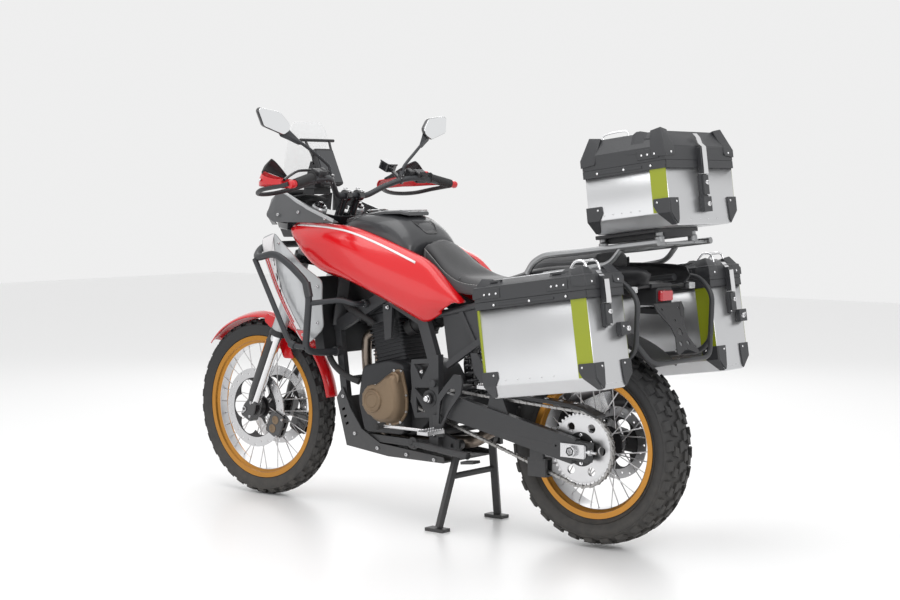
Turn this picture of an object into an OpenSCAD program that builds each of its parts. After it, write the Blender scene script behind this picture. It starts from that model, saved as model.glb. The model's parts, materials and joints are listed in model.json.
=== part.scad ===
// Adventure motorcycle with aluminium cases, parked upright on its centre stand.
// Millimetres. +X is forward, +Y is the rider's left, +Z is up, and the floor is Z = 0.
// The origin is on the floor, halfway between the front tyre's tread and the top case's latches.

/* [Wheels] */
// Distance between the two axles
wheelbase = 1600; // [1560:5:1640]
// Front axle ahead of the origin
front_axle_x = 827.5; // [817.5:0.5:837.5]
// Outer radius of the front tyre
front_tyre_r = 347.5; // [340:0.5:352]
// Width of the front tyre
front_tyre_w = 90; // [84:1:94]
// Outer radius of the front rim's flanges
front_rim_r = 281; // [278:0.5:284]
// Outer radius of the rear tyre
rear_tyre_r = 333.5; // [328:0.5:336]
// Width of the rear tyre
rear_tyre_w = 150; // [144:1:152]
// Outer radius of the rear rim's flanges
rear_rim_r = 243; // [240:0.5:246]
// Gap between the rear tyre and the floor on the centre stand
rear_lift = 8; // [6:1:14]
// Spokes in each wheel
spoke_count = 32; // [28:4:36]
// Rear sprocket's outer radius
sprocket_r = 116; // [112:1:118]
// Chain line, measured from the bike's centre plane
chain_y = 110; // [108:1:112]
// Front brake disc's radius
front_disc_r = 155; // [150:1:158]
// Rear brake disc's radius
rear_disc_r = 125; // [120:1:128]

/* [Steering] */
// Steering axis, leant back from the vertical
rake = 25; // [24:0.5:26]
// Distance on the floor from the front axle to the steering axis
trail = 105; // [100:1:110]
// Half the distance between the fork legs
fork_y = 104; // [102:1:106]
// Fork legs ahead of the steering axis
fork_offset = 30; // [28:1:32]
// Half the width over the bar ends
bar_half_w = 432; // [425:1:440]
// Radius of the handlebar
bar_r = 11; // [11:0.1:11.2]

/* [Cases] */
// Nose-down tilt of the side cases
pannier_tilt = 8; // [6:0.5:9]
// Length of a side case
pannier_l = 433; // [420:1:440]
// Width of a side case
pannier_w = 196; // [190:1:200]
// Height of a side case's body
pannier_h = 314; // [308:1:320]
// Height of a side case's lid
pannier_lid_h = 66; // [62:1:70]
// Inner wall of a side case, from the centre plane
pannier_y = 266; // [264:1:270]
// Nose-down tilt of the top case
top_tilt = 7; // [5:0.5:8]
// Length of the top case
top_l = 310; // [300:1:315]
// Width of the top case
top_w = 400; // [390:1:410]
// Height of the top case's body
top_h = 207; // [200:1:212]
// Height of the top case's lid
top_lid_h = 96; // [90:1:100]
// Wall thickness of the cases, with their inner lining
case_wall = 3; // [2:0.5:4]
// Bevel along the lower long edges of the cases
case_bevel = 42; // [36:1:46]

/* [Frame] */
// Height of the swingarm pivot
pivot_z = 467; // [462:1:472]
// Swingarm pivot behind the origin
pivot_x = -147.5; // [-150:0.5:-145]
// Outer radius of the crash bars
crash_r = 13; // [12:0.5:14]
// Radius of the rear frame's tubes
subframe_r = 12; // [11:0.5:13]

/* [Hidden] */

$fn = 48;
sides = [1, -1];
rear_axle_x = front_axle_x - wheelbase;
front_axle = [front_axle_x, 0, front_tyre_r];
rear_axle = [rear_axle_x, 0, rear_tyre_r + rear_lift];
pivot = [pivot_x, 0, pivot_z];

// Steering frame: its origin is where the steering axis meets the floor, its Z runs up the axis
steer_foot_x = front_axle_x + trail;
axle_p = -trail * cos(rake) + front_tyre_r * sin(rake);
axle_s = trail * sin(rake) + front_tyre_r * cos(rake);
lower_clamp_s = 1035;
upper_clamp_s = 1218;
bar_s = 1316;
bar_p = -14;

stem_r = 14;
// Hollow bolt of the swingarm pivot
pivot_r = 15;
pivot_bore = 12;
// Radial clearance of a turning shaft in its bore
running = 0.05;
front_axle_r = 10;
rear_axle_r = 12.5;
disc_t = 4.5;
front_disc_y = 66;
rear_disc_y = -92;
front_rim_half_w = 36;
rear_rim_half_w = 54;
// Middle of the swingarm's arms, and their thickness
arm_y = 144;
arm_t = 28;
// Frame members beside the swingarm pivot
spar_y = 142;
spar_t = 26;

// Case frames: the origin is the inner front corner of the floor
pannier_foot = [-647, 0, 530];
top_foot = [-866, 0, 1058];
// Gap between a lid's rim and its case
lid_gap = 0.5;
// Lid hinge: its axis ahead of the case's front wall, its knuckles and its pin
hinge_x = 11;
hinge_r = 5;
hinge_pin_r = 2.5;

front_sprocket = [-70, 462];
front_sprocket_r = 40;
// Pivots of the stands
stand_pivot = [-232, 0, 304];
side_pivot = [-92, 162, 298];
// Axis that swings the side stand down, forward and outward
side_axis = [0.0436, 0.9355, 0.3507];
// Threaded holes for a paddock stand's spools, an M8 in each arm
spool_x = -700;
spool_z = 352;
spool_r = 4;
// Turn of a spoke's hub end against its rim end
spread = 24;

// ---------- shared shapes ----------

// Turn that brings Z onto the direction v
function aim(v) = [0, acos(v[2] / norm(v)), atan2(v[1], v[0])];

// Cylinder from point a to point b
module rod(a, b, r) translate(a) rotate(aim(b - a)) cylinder(h = norm(b - a), r = r);

// Angle that a route turns through at b
function bend_at(a, b, c) = acos(((b - a) * (c - b)) / (norm(b - a) * norm(c - b)));

// Bent tube through a list of points. The ball in each slight bend is large enough to hold the tubes' crossing.
module pipe(points, r) {
    for (i = [0 : len(points) - 2]) rod(points[i], points[i + 1], r, $fn = 24);
    for (i = [1 : 1 : len(points) - 2])
        let (
            a = points[i] - points[i - 1], c = points[i + 1] - points[i],
            bend = bend_at(points[i - 1], points[i], points[i + 1]),
            ball = bend < 56 ? 1.035 / cos(bend / 2) : 1.04
        )
        translate(points[i]) rotate(aim(a / norm(a) + c / norm(c))) rotate([9, 5, 40]) sphere(r = r * ball, $fn = 24);
}

// Route from the right end to the left end of a bar, given its left half from the middle outwards
function left_to_right(half) =
    concat([for (i = [len(half) - 1 : -1 : 0]) [half[i][0], -half[i][1], half[i][2]]], half);

// Square-edged beam from a to b, w wide across and h deep
module beam(a, b, w, h) {
    v = b - a;
    translate(a)
        rotate([0, -asin(v[2] / norm(v)), atan2(v[1], v[0])])
            translate([0, -w / 2, -h / 2]) cube([norm(v), w, h]);
}

// Upright plate with an outline in X and Z, from y to y + t
module side_plate(outline, y, t)
    translate([0, y + t, 0]) rotate([90, 0, 0]) linear_extrude(height = t) polygon(outline);

// Disc or tube along Y, centred on c, with an optional bore
module barrel(c, r, w, bore = 0)
    translate(c) rotate([90, 0, 0]) difference() {
        cylinder(h = w, r = r, center = true);
        if (bore > 0) cylinder(h = w + 2, r = bore, center = true);
    }

// Ring turned about the Y axis through c, from a profile of [radius, y]
module turned(c, profile)
    translate(c) rotate([-90, 0, 0]) rotate_extrude($fn = 96) polygon(profile);

module both_sides() {
    children();
    mirror([0, 1, 0]) children();
}

// A panel between an outline in X and Z at y0 and another at y1
module panel(outline_in, y_in, outline_out, y_out) hull() {
    side_plate(outline_in, y_in, 1);
    side_plate(outline_out, y_out - 1, 1);
}

module steering() translate([steer_foot_x, 0, 0]) rotate([0, -rake, 0]) children();

function arc_points(c, r, a0, a1, n) =
    [for (i = [0 : n]) let (a = a0 + (a1 - a0) * i / n) [c[0] + r * cos(a), c[1] + r * sin(a)]];

// ---------- wheels ----------

// Half of a tyre's section on a rim with its flanges at half_w, as [radius, y]
function tyre_side(r, w, rim_r, half_w) = [
    [rim_r - 14.5, half_w - 7], [rim_r + 1, half_w - 5], [rim_r + 3, half_w + 1],
    [(r + rim_r) / 2 - 4, w / 2], [(r * 2 + rim_r) / 3, w / 2 - 1],
    [r - 13, w / 2 - 8], [r - 3, w / 4]
];
function tyre_cavity(r, w, rim_r, half_w, t) = [
    [r - t - 7, w / 4], [r - t - 14, w / 2 - t - 6], [(r + rim_r) / 2 - 2, w / 2 - t],
    [rim_r - 2, half_w - t - 5], [rim_r - 14.5, half_w - t - 7]
];
function other_side(points) = [for (i = [len(points) - 1 : -1 : 0]) [points[i][0], -points[i][1]]];
function tyre_profile(r, w, rim_r, half_w, t) = concat(
    tyre_side(r, w, rim_r, half_w), [[r, 0]], other_side(tyre_side(r, w, rim_r, half_w)),
    other_side(tyre_cavity(r, w, rim_r, half_w, t)), [[r - t - 4, 0]], tyre_cavity(r, w, rim_r, half_w, t)
);

module tyre(c, r, w, rim_r, half_w) turned(c, tyre_profile(r, w, rim_r, half_w, 9));

// Channel-section rim, its flanges at r and its well between them
module rim(c, r, half_w) turned(c, [
    [r, half_w], [r, half_w - 3.5], [r - 15.5, half_w - 5], [r - 17, half_w - 12],
    [r - 26, half_w - 20], [r - 26, 20 - half_w], [r - 17, 12 - half_w], [r - 15.5, 5 - half_w],
    [r, 3.5 - half_w], [r, -half_w], [r - 19, -half_w], [r - 21, 9 - half_w],
    [r - 31, 18 - half_w], [r - 31, half_w - 18], [r - 21, half_w - 9], [r - 19, half_w]
]);

// Crossed wire spokes from both hub flanges to the middle of the rim
module spokes(c, hub_r, hub_y, rim_r)
    for (i = [0 : spoke_count - 1])
        let (
            side = i % 2 == 0 ? 1 : -1,
            lean = floor(i / 2) % 2 == 0 ? spread : -spread,
            a = i * 360 / spoke_count
        )
        rod(
            c + [hub_r * cos(a + lean), side * hub_y, hub_r * sin(a + lean)],
            c + [rim_r * cos(a), side * 6, rim_r * sin(a)], 2
        );

module front_tyre() color("#1c1c1d") tyre(front_axle, front_tyre_r, front_tyre_w, front_rim_r, front_rim_half_w);
module rear_tyre() color("#1c1c1d") tyre(rear_axle, rear_tyre_r, rear_tyre_w, rear_rim_r, rear_rim_half_w);

module front_wheel() color("#b9741d") {
    difference() {
        union() {
            barrel(front_axle, 27, 100);
            for (s = sides) barrel(front_axle + [0, s * 34, 0], 44, 7);
            for (s = sides) barrel(front_axle + [0, s * 54.3, 0], 36, 18.4);
            spokes(front_axle, 40, 34, front_rim_r - 30);
            rim(front_axle, front_rim_r, front_rim_half_w);
        }
        barrel(front_axle, front_axle_r + running, 200);
    }
}

module rear_wheel() color("#b9741d") {
    difference() {
        union() {
            barrel(rear_axle, 34, 150);
            for (s = sides) barrel(rear_axle + [0, s * 42, 0], 62, 8);
            barrel(rear_axle + [0, 84.5, 0], 58, 40);
            barrel(rear_axle + [0, -79, 0], 42, 21);
            spokes(rear_axle, 57, 42, rear_rim_r - 30);
            rim(rear_axle, rear_rim_r, rear_rim_half_w);
        }
        barrel(rear_axle, rear_axle_r + running, 260);
    }
}

// Floating disc: outer ring on an inner carrier with windows
module brake_disc(c, r, ring_w, carrier_r) {
    difference() {
        barrel(c, r, disc_t);
        barrel(c, carrier_r, disc_t + 2);
        for (i = [0 : 11]) for (k = [0, 1])
            translate(c) rotate([0, i * 30 + k * 15, 0]) translate([r - ring_w * (0.3 + 0.4 * k), 0, 0])
                rotate([90, 0, 0]) cylinder(h = 20, r = 4, center = true);
        for (i = [0 : 5])
            translate(c) rotate([0, i * 60, 0]) translate([(r - ring_w + carrier_r) / 2 - 2, 0, 0])
                rotate([90, 0, 0]) cylinder(h = 20, r = (r - ring_w - carrier_r) / 2 - 6, center = true);
    }
}

module front_discs() color("#c9cacc")
    for (s = sides) brake_disc(front_axle + [0, s * front_disc_y, 0], front_disc_r, 30, 22);

module rear_disc() color("#c9cacc")
    brake_disc(rear_axle + [0, rear_disc_y, 0], rear_disc_r, 28, 22);

module sprocket() color("#c9cacc") {
    c = rear_axle + [0, chain_y - 2, 0];
    difference() {
        turned(c, [[24, -3], [24, 5], [sprocket_r - 6, 5], [sprocket_r, 3.5], [sprocket_r, 0.5], [sprocket_r - 6, -3]]);
        for (i = [0 : 5]) translate(c) rotate([0, i * 60, 0]) translate([83, 0, 0])
            rotate([90, 0, 0]) cylinder(h = 30, r = 15, center = true);
    }
}

// ---------- steering ----------

// Clamp that joins both fork legs at height s along the steering axis
module fork_clamp(s) {
    for (side = sides) translate([fork_offset, side * fork_y, s - 16]) cylinder(h = 32, r = 36);
    translate([-24, -fork_y, s - 16]) cube([fork_offset + 44, 2 * fork_y, 32]);
}

module fork() {
    color("#a9abad") steering() difference() {
        union() {
            for (s = sides) translate([fork_offset, s * fork_y, 0]) {
                translate([0, 0, 716]) cylinder(h = 530, r = 29);
                translate([0, 0, 700]) cylinder(h = 20, r = 33);
                translate([0, 0, 400]) cylinder(h = 310, r = 22);
                translate([-26, -20, 330]) cube([60, 40, 80]);
                translate([32, -27, 402]) cube([10, 54, 285]);
                translate([10, -24, 402]) cube([24, 6, 30]);
                translate([10, 18, 402]) cube([24, 6, 30]);
            }
            for (s = [lower_clamp_s, upper_clamp_s]) fork_clamp(s);
            translate([0, 0, lower_clamp_s]) cylinder(h = upper_clamp_s - lower_clamp_s, r = stem_r);
        }
        translate([axle_p, 0, axle_s]) rotate([90, 0, 0]) cylinder(h = 400, r = front_axle_r, center = true);
    }
}

module front_axle() color("#8d8f92") {
    difference() {
        union() {
            barrel(front_axle, front_axle_r, 2 * fork_y + 50);
            for (s = sides) barrel(front_axle + [0, s * 74.5, 0], 17, 18.8);
        }
        barrel(front_axle, 6, 400);
    }
}

// Arc-shaped mudguard over the tyre, wider than it, with side stays to the fork legs
module front_fender() color("#c8141b") {
    difference() {
        translate(front_axle) rotate([90, 0, 0]) rotate([0, 0, 48])
            rotate_extrude(angle = 118, $fn = 96)
                polygon([[358, -58], [364, -58], [378, -40], [382, 0], [378, 40], [364, 58], [358, 58],
                    [372, 38], [376, 0], [372, -38]]);
        for (s = sides) steering() translate([fork_offset, s * fork_y, 400]) cylinder(h = 700, r = 34);
    }
    for (s = sides)
        side_plate([[front_axle_x - 210, 560], [front_axle_x - 130, 700], [front_axle_x - 60, 716],
            [front_axle_x - 60, 702], [front_axle_x - 110, 660], [front_axle_x - 150, 560]],
            s > 0 ? 56 : -62, 6);
}

// Four-piston calipers behind the legs, straddling the discs
module front_calipers() color("#2b2b2c") for (s = sides) {
    difference() {
        translate(front_axle) rotate([0, -205, 0]) translate([135, s * front_disc_y, 0])
            cube([78, 34, 92], center = true);
        barrel(front_axle + [0, s * front_disc_y, 0], front_disc_r + 6, disc_t + 5);
        steering() translate([fork_offset, s * fork_y, 300]) cylinder(h = 800, r = 24);
        steering() translate([fork_offset - 27, s * fork_y - 21, 329]) cube([62, 42, 82]);
    }
}

bar_end_s = bar_s + 86;
bar_path = [
    [bar_p, 78, bar_s - 4], [bar_p - 22, 150, bar_s + 48], [bar_p - 58, 240, bar_s + 94],
    [bar_p - 92, bar_half_w, bar_end_s]
];

// Bar on risers, with grips, bar ends, switch blocks, levers and fluid cups
module handlebar() {
    color("#262728") steering() {
        pipe(left_to_right(bar_path), bar_r);
        both_sides() let (end = bar_path[3]) {
            rod(end + [-1, 10, 0], end + [30, -112, 16], 17);
            rod(end + [-1, 11, 0], end + [-4, 20, -2], 14);
            translate(end + [40, -150, 14]) cube([46, 52, 44], center = true);
            translate(end + [72, -172, 12]) cube([44, 26, 26], center = true);
            pipe([end + [92, -168, 12], end + [98, -130, 8], end + [48, 6, -8]], 6);
        }
        for (s = sides) rod([4, s * 34, upper_clamp_s + 20], [bar_p, s * 34, bar_s - 4], 15);
        for (s = sides) translate([bar_p, s * 34, bar_s - 4]) rotate([90, 0, 0]) cylinder(h = 26, r = 22, center = true);
        translate([bar_p + 50, -206, bar_s + 96]) cube([44, 52, 34], center = true);
        rod([bar_p - 40, -206, bar_s + 74], [bar_p + 44, -206, bar_s + 92], 8);
    }
}

// Guards around the grips: a curved shield, a deflector on top and a stay to the bar end
module hand_guards() color("#c8141b") both_sides() steering() {
    hull() {
        translate([bar_p + 92, 238, bar_end_s - 86]) cube([8, 20, 36], center = true);
        translate([bar_p + 66, 418, bar_end_s - 56]) cube([8, 24, 64], center = true);
        translate([bar_p + 92, 330, bar_end_s - 76]) cube([8, 60, 56], center = true);
    }
    hull() {
        translate([bar_p + 66, 420, bar_end_s - 62]) cube([8, 22, 30], center = true);
        translate([bar_p - 96, bar_half_w + 38, bar_end_s]) cube([26, 8, 26], center = true);
        translate([bar_p + 20, bar_half_w + 38, bar_end_s - 36]) cube([40, 8, 34], center = true);
    }
    hull() {
        translate([bar_p + 90, 280, bar_end_s - 58]) cube([10, 40, 10], center = true);
        translate([bar_p + 80, 386, bar_end_s + 14]) cube([6, 50, 8], center = true);
        translate([bar_p + 72, 412, bar_end_s - 28]) cube([8, 22, 8], center = true);
    }
}

// Stalked mirrors
module mirrors() color("#262728") both_sides() {
    steering() translate([bar_p - 40, 196, bar_s + 92]) cylinder(h = 22, r = 11);
    pipe([[291, 198, 1264], [291, 214, 1300], [312, 322, 1374], [330, 392, 1416]], 6);
    hull() {
        translate([334, 380, 1424]) rotate([0, 12, 0]) cube([14, 20, 24], center = true);
        translate([336, 470, 1430]) rotate([0, 12, 0]) cube([26, 70, 60], center = true);
        translate([332, 496, 1488]) rotate([0, 12, 0]) cube([18, 40, 16], center = true);
        translate([332, 410, 1474]) rotate([0, 12, 0]) cube([18, 30, 16], center = true);
    }
}

// ---------- frame ----------

head_low = lower_clamp_s + 20;
head_high = upper_clamp_s - 20;
function steer_point(s) = [steer_foot_x - s * sin(rake), 0, s * cos(rake)];
spar_bend = [-96, spar_y, 762];

// Cut-outs of the lattice plates beside the front sprocket
lattice = [
    [[-72, 585], [-146, 592], [-106, 530]],
    [[-74, 500], [-144, 505], [-144, 440]],
    [[-82, 470], [-126, 416], [-86, 412]]
];

// Headstock, two spars to the swingarm pivot, and a cradle under the engine
module main_frame() color("#3a3c3f") {
    difference() {
        union() {
            steering() translate([0, 0, head_low]) cylinder(h = head_high - head_low, r = 27);
            both_sides() {
                beam(steer_point(1140) + [-10, 18, 0], [250, 112, 905], spar_t, 74);
                beam([268, 108, 912], spar_bend + [-10, 0, -4], spar_t, 66);
                beam(spar_bend + [0, 0, 20], [-166, spar_y, 590], spar_t, 46);
                beam([-166, spar_y, 624], [-166, spar_y, 284], spar_t + 2, 42);
                beam([318, 84, 940], [338, 112, 700], 24, 42);
                beam([346, 112, 690], [70, 132, 826], 24, 44);
                beam([332, 112, 720], [290, 112, 410], 24, 30);
                beam([291, 112, 430], [224, 104, 288], 24, 30);
                beam([236, 104, 296], [-166, spar_y, 298], 24, 26);
                side_plate([[-60, 600], [-160, 610], [-160, 400], [-76, 392], [-56, 450], [-62, 500], [-56, 560]], 146, 8);
                side_plate([[95, 790], [48, 800], [55, 668], [85, 660]], 122, 12);
                rod([170, 118, 790], [170, 146, 790], 16);
                rod([316, 112, 606], [316, 140, 606], 15);
                // Boss for the side stand, and lugs for the centre stand
                beam([-130, 130, 298], [-60, 130, 298], 20, 30);
                side_plate([[-176, 350], [-250, 324], [-252, 282], [-176, 284]], 117, 17);
            }
            barrel(pivot + [0, spar_y, 0], 30, 34);
            barrel(pivot - [0, spar_y, 0], 30, 34);
            barrel(pivot, pivot_r, 330);
            rod([-166, -spar_y, 344], [-166, spar_y, 344], 12);
            rod([304, -112, 500], [304, 112, 500], 10);
        }
        barrel(pivot, pivot_bore, 400);
        barrel(stand_pivot, 8 + running, 300);
        steering() translate([0, 0, head_low - 10]) cylinder(h = head_high - head_low + 20, r = stem_r + running);
        both_sides() for (cut = lattice) side_plate(cut, 140, 16);
        // Side stand's pivot bolt
        rod(side_pivot - side_axis * 40, side_pivot + side_axis * 20, 8 + running);
    }
}

// Height of the upper rear-frame tubes at x, behind the seat's nose
function rail_z(x) = 858 + (x + 560) * -0.1318;
// Where the side-case rack is bolted to them
rack_arm_x = [-690, -950];
module subframe() color("#3a3c3f") {
    both_sides() {
        pipe([[-152, 128, 762], [-360, 128, 808], [-560, 118, 858], [-1000, 96, rail_z(-1000)]], subframe_r);
        beam([-206, 128, 586], [-372, 130, 690], 20, 22);
        beam([-362, 130, 682], [-648, 115, 870], 18, 20);
        beam([-268, 128, 786], [-340, 130, 664], 14, 16);
        // Cover inside the triangle
        side_plate([[-186, 762], [-352, 800], [-366, 690], [-212, 598]], 123, 6);
    }
    for (x = [-620, -860]) rod([x, -112, rail_z(x)], [x, 112, rail_z(x)], 9);
}

// ---------- engine ----------

module engine() color("#2e2f31") {
    difference() {
        union() {
            side_plate([[190, 560], [212, 430], [180, 318], [-30, 314], [-104, 380], [-106, 500], [-60, 575], [60, 590]], -142, 284);
            translate([100, 0, 560]) rotate([0, 14, 0]) translate([-88, -90, 0]) cube([158, 180, 170]);
            translate([100, 0, 560]) rotate([0, 14, 0]) translate([-92, -96, 165]) cube([168, 192, 66]);
        }
        translate([-130, 99, 380]) cube([114, 60, 150]);
        translate([-130, -160, 380]) cube([60, 40, 150]);
    }
    barrel([front_sprocket[0], 108, front_sprocket[1]], 35, 8);
    barrel([front_sprocket[0], 101.5, front_sprocket[1]], 14, 5);
    translate([44, 0, 660]) rotate([0, 14, 0]) for (s = sides)
        translate([-140, s * 48, 20]) rotate([0, 90, 0]) cylinder(h = 90, r = 28);
}

// Outer covers over the crankshaft's left end and the clutch on the right
module engine_covers() color("#7b6651") {
    outline = [[115, 497], [58, 530], [20, 560], [-14, 560], [-38, 470], [-38, 408], [-10, 366], [41, 352], [97, 358], [142, 410], [146, 452]];
    side_plate(outline, 143, 60);
    barrel([84, 206, 445], 40, 10);
    side_plate([for (p = outline) [p[0] - 2, p[1] - 4]], -198, 55);
    barrel([40, -201, 440], 52, 10);
}

module radiator() color("#27282a") translate([394, 0, 735]) rotate([0, 10, 0]) {
    difference() {
        translate([-22, -170, -145]) cube([44, 340, 290]);
        translate([14, -150, -125]) cube([20, 300, 250]);
    }
    for (s = sides) translate([-32, s * 50, 0]) rotate([0, 90, 0]) cylinder(h = 20, r = 46, center = true);
}

// Folded plate under the engine: a floor that turns up at the front, and two slotted sides
skid_outside = [[326, 432], [276, 258], [70, 236], [-190, 236], [-196, 244]];
skid_inside = [[60, 246], [262, 272], [314, 434]];
module skid_plate() color("#7d8083") {
    difference() {
        union() {
            side_plate(concat(skid_outside, skid_inside), -128, 256);
            both_sides() side_plate(concat(skid_outside, [[-190, 258], [-60, 268], [110, 280], [202, 326], [256, 396], [296, 474]]), 128, 5);
        }
        for (i = [0 : 2]) both_sides()
            translate([282 - i * 9, 120, 392 - i * 26]) rotate([0, 30, 0]) cube([16, 20, 9]);
    }
}

// Left half of the outer crash bar, from the front to its lower mount
crash_path = [
    [655, 120, 994], [643, 206, 989], [598, 286, 946], [480, 300, 972], [400, 300, 930], [318, 300, 868],
    [304, 300, 815], [330, 294, 618], [316, 220, 606], [316, 141, 606]
];
module crash_bars() color("#3a3c3f") {
    pipe(left_to_right(crash_path), crash_r);
    both_sides() {
        pipe([[597, 287, 946], [404, 297, 634], [327, 295, 630]], crash_r - 3);
        pipe([[307, 299, 792], [210, 230, 806], [170, 200, 790], [170, 147, 790]], crash_r - 3);
    }
}

module exhaust() color("#8a7c6e") {
    for (s = [0, 1]) pipe([[222, -40 + 80 * s, 676], [256, -40 + 80 * s, 658], [262, -36 + 74 * s, 600],
        [250, -30 + 64 * s, 420], [214, -20 + 50 * s, 310], [160, -14 + 38 * s, 286]], 19);
    pipe([[190, 5, 288], [-60, 0, 288], [-222, -14, 300], [-262, -60, 345], [-366, -200, 352], [-414, -214, 390]], 23);
    difference() {
        hull() {
            rod([-388, -214, 396], [-420, -214, 404], 32);
            rod([-470, -218, 416], [-780, -218, 494], 55);
            rod([-780, -218, 494], [-822, -218, 504], 44);
        }
        rod([-700, -218, 474], [-860, -218, 514], 24);
    }
}

// ---------- bodywork ----------

// The tank fills the space between the spars, its dark cover is the top
module fuel_tank() color("#2a2b2d") {
    hull() {
        translate([90, -128, 956]) cube([150, 256, 80]);
        translate([300, -86, 1050]) cube([40, 172, 12]);
        translate([60, -88, 1118]) cube([170, 176, 8]);
        translate([-40, -96, 960]) cube([60, 192, 60]);
    }
}

module side_panels() color("#c8141b") both_sides() {
    panel(
        [[480, 1050], [210, 1050], [-110, 935], [-250, 812], [-130, 760], [-40, 780], [270, 905], [400, 955]], 158,
        [[470, 1030], [200, 1010], [-60, 900], [-180, 812], [-120, 775], [-30, 800], [260, 925], [380, 965]], 236
    );
    side_plate([[526, 1034], [498, 1078], [214, 1066], [-128, 948], [-288, 808], [-130, 740], [-46, 752], [60, 812], [275, 888], [400, 940]], 158, 44);
}

module front_fairing() color("#4b4d50") {
    side = [[262, 1084], [600, 1082], [646, 1108], [612, 1196], [556, 1190], [440, 1146]];
    both_sides() {
        panel(side, 154, [[300, 1088], [590, 1088], [624, 1112], [598, 1178], [546, 1172], [440, 1132]], 186);
        hull() {
            side_plate([[596, 1064], [636, 1100], [608, 1190]], 168, 14);
            side_plate([[690, 1076], [704, 1106], [690, 1150]], 98, 6);
        }
    }
    hull() {
        translate([606, -95, 1146]) cube([20, 190, 20]);
        translate([716, -40, 1146]) cube([8, 80, 8]);
    }
}

module headlight() color("#20242a") hull() {
    translate([616, -92, 1024]) cube([20, 184, 120]);
    translate([716, -60, 1064]) cube([8, 120, 72]);
    translate([690, -50, 1018]) cube([10, 100, 10]);
}

module radiator_shrouds() color("#b4b6b9") both_sides() difference() {
    panel(
        [[560, 1044], [640, 1020], [612, 960], [430, 640], [372, 640], [300, 700], [294, 872], [404, 926], [526, 1014]], 178,
        [[540, 1040], [612, 1010], [590, 940], [420, 690], [384, 680], [320, 730], [312, 870], [410, 926], [510, 1016]], 262
    );
    panel(
        [[560, 1044], [640, 1020], [612, 960], [430, 640], [372, 640], [300, 700], [294, 872], [404, 926], [526, 1014]], 172,
        [[530, 1034], [606, 1004], [580, 940], [420, 696], [390, 690], [326, 735], [318, 866], [410, 920], [504, 1010]], 256
    );
}

module windscreen() color([0.8, 0.85, 0.88, 0.35]) difference() {
    intersection() {
        translate([466, 0, 1140]) rotate([0, -12, 0]) difference() {
            cylinder(h = 370, r = 220);
            translate([0, 0, -1]) cylinder(h = 380, r = 216);
        }
        translate([560, -112, 1182]) cube([300, 224, 283]);
    }
    both_sides() translate([500, 100, 1350]) rotate([14, 0, 0]) cube([400, 100, 300]);
}

module dash() color("#1f2022") {
    difference() {
        union() {
            translate([496, 0, 1288]) rotate([0, 24, 0]) cube([22, 104, 150], center = true);
            hull() {
                translate([520, -46, 1186]) cube([60, 92, 12]);
                translate([520, -36, 1300]) cube([30, 72, 12]);
            }
        }
        translate([482, 0, 1294]) rotate([0, 24, 0]) cube([8, 92, 128], center = true);
    }
    for (s = sides) rod([520, s * 52, 1330], [548, s * 66, 1392], 5);
    rod([548, -92, 1392], [548, 92, 1392], 6);
    for (s = sides) rod([536, s * 30, 1300], [520, s * 54, 1332], 6);
}

module rider_seat() color("#242526") hull() {
    translate([-66, -84, 960]) cube([20, 168, 62]);
    translate([-250, -128, 836]) cube([40, 256, 48]);
    translate([-448, -132, 846]) cube([40, 264, 46]);
    translate([-300, -124, 882]) cube([60, 248, 8]);
}

module pillion_seat() color("#242526") hull() {
    translate([-476, -112, 872]) cube([20, 224, 34]);
    translate([-596, -112, 964]) cube([20, 224, 26]);
    translate([-822, -96, 944]) cube([20, 192, 66]);
    translate([-700, -116, 916]) cube([180, 232, 64]);
}

module tail_fairing() color("#232426") {
    difference() {
        both_sides() panel(
            [[-470, 845], [-470, 900], [-620, 940], [-1000, 950], [-1046, 930], [-900, 884], [-640, 850]], 134,
            [[-500, 850], [-500, 894], [-640, 930], [-960, 944], [-980, 928], [-880, 890], [-640, 858]], 152
        );
        both_sides() for (x = rack_arm_x) rod([x, 100, rail_z(x)], [x, 200, rail_z(x)], 12);
    }
    translate([-1010, -60, 884]) cube([60, 120, 20]);
    // Mudguard under the tail, over the tyre
    difference() {
        translate(rear_axle) rotate([90, 0, 0]) rotate([0, 0, 72])
            rotate_extrude(angle = 60, $fn = 96) translate([384, -72]) square([7, 144]);
        translate([-1300, -200, 300]) cube([260, 400, 200]);
    }
    // Sloping plate carrier
    translate([-1036, 0, 838]) rotate([0, -63, 0]) difference() {
        translate([-6, 0, 0]) linear_extrude(height = 4)
            polygon([[0, 90], [-60, 46], [-120, 46], [-182, 66], [-182, -66], [-120, -46], [-60, -46], [0, -90]]);
        for (s = sides) translate([-24, s * 52, -1]) cylinder(h = 8, r = 3);
        for (s = sides) translate([-150, s * 30, -1]) cylinder(h = 8, r = 9);
        translate([-84, 0, -1]) cylinder(h = 8, r = 17);
    }
    translate([-1040, -40, 800]) cube([90, 80, 14]);
}

module tail_light() color("#8e1118") {
    translate([-1034, -37, 839]) cube([26, 74, 42]);
    for (s = sides) {
        rod([-1000, s * 62, 892], [-1000, s * 150, 886], 5);
        translate([-1000, s * 172, 886]) rotate([0, 8, 0]) cube([38, 46, 26], center = true);
    }
}

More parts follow.
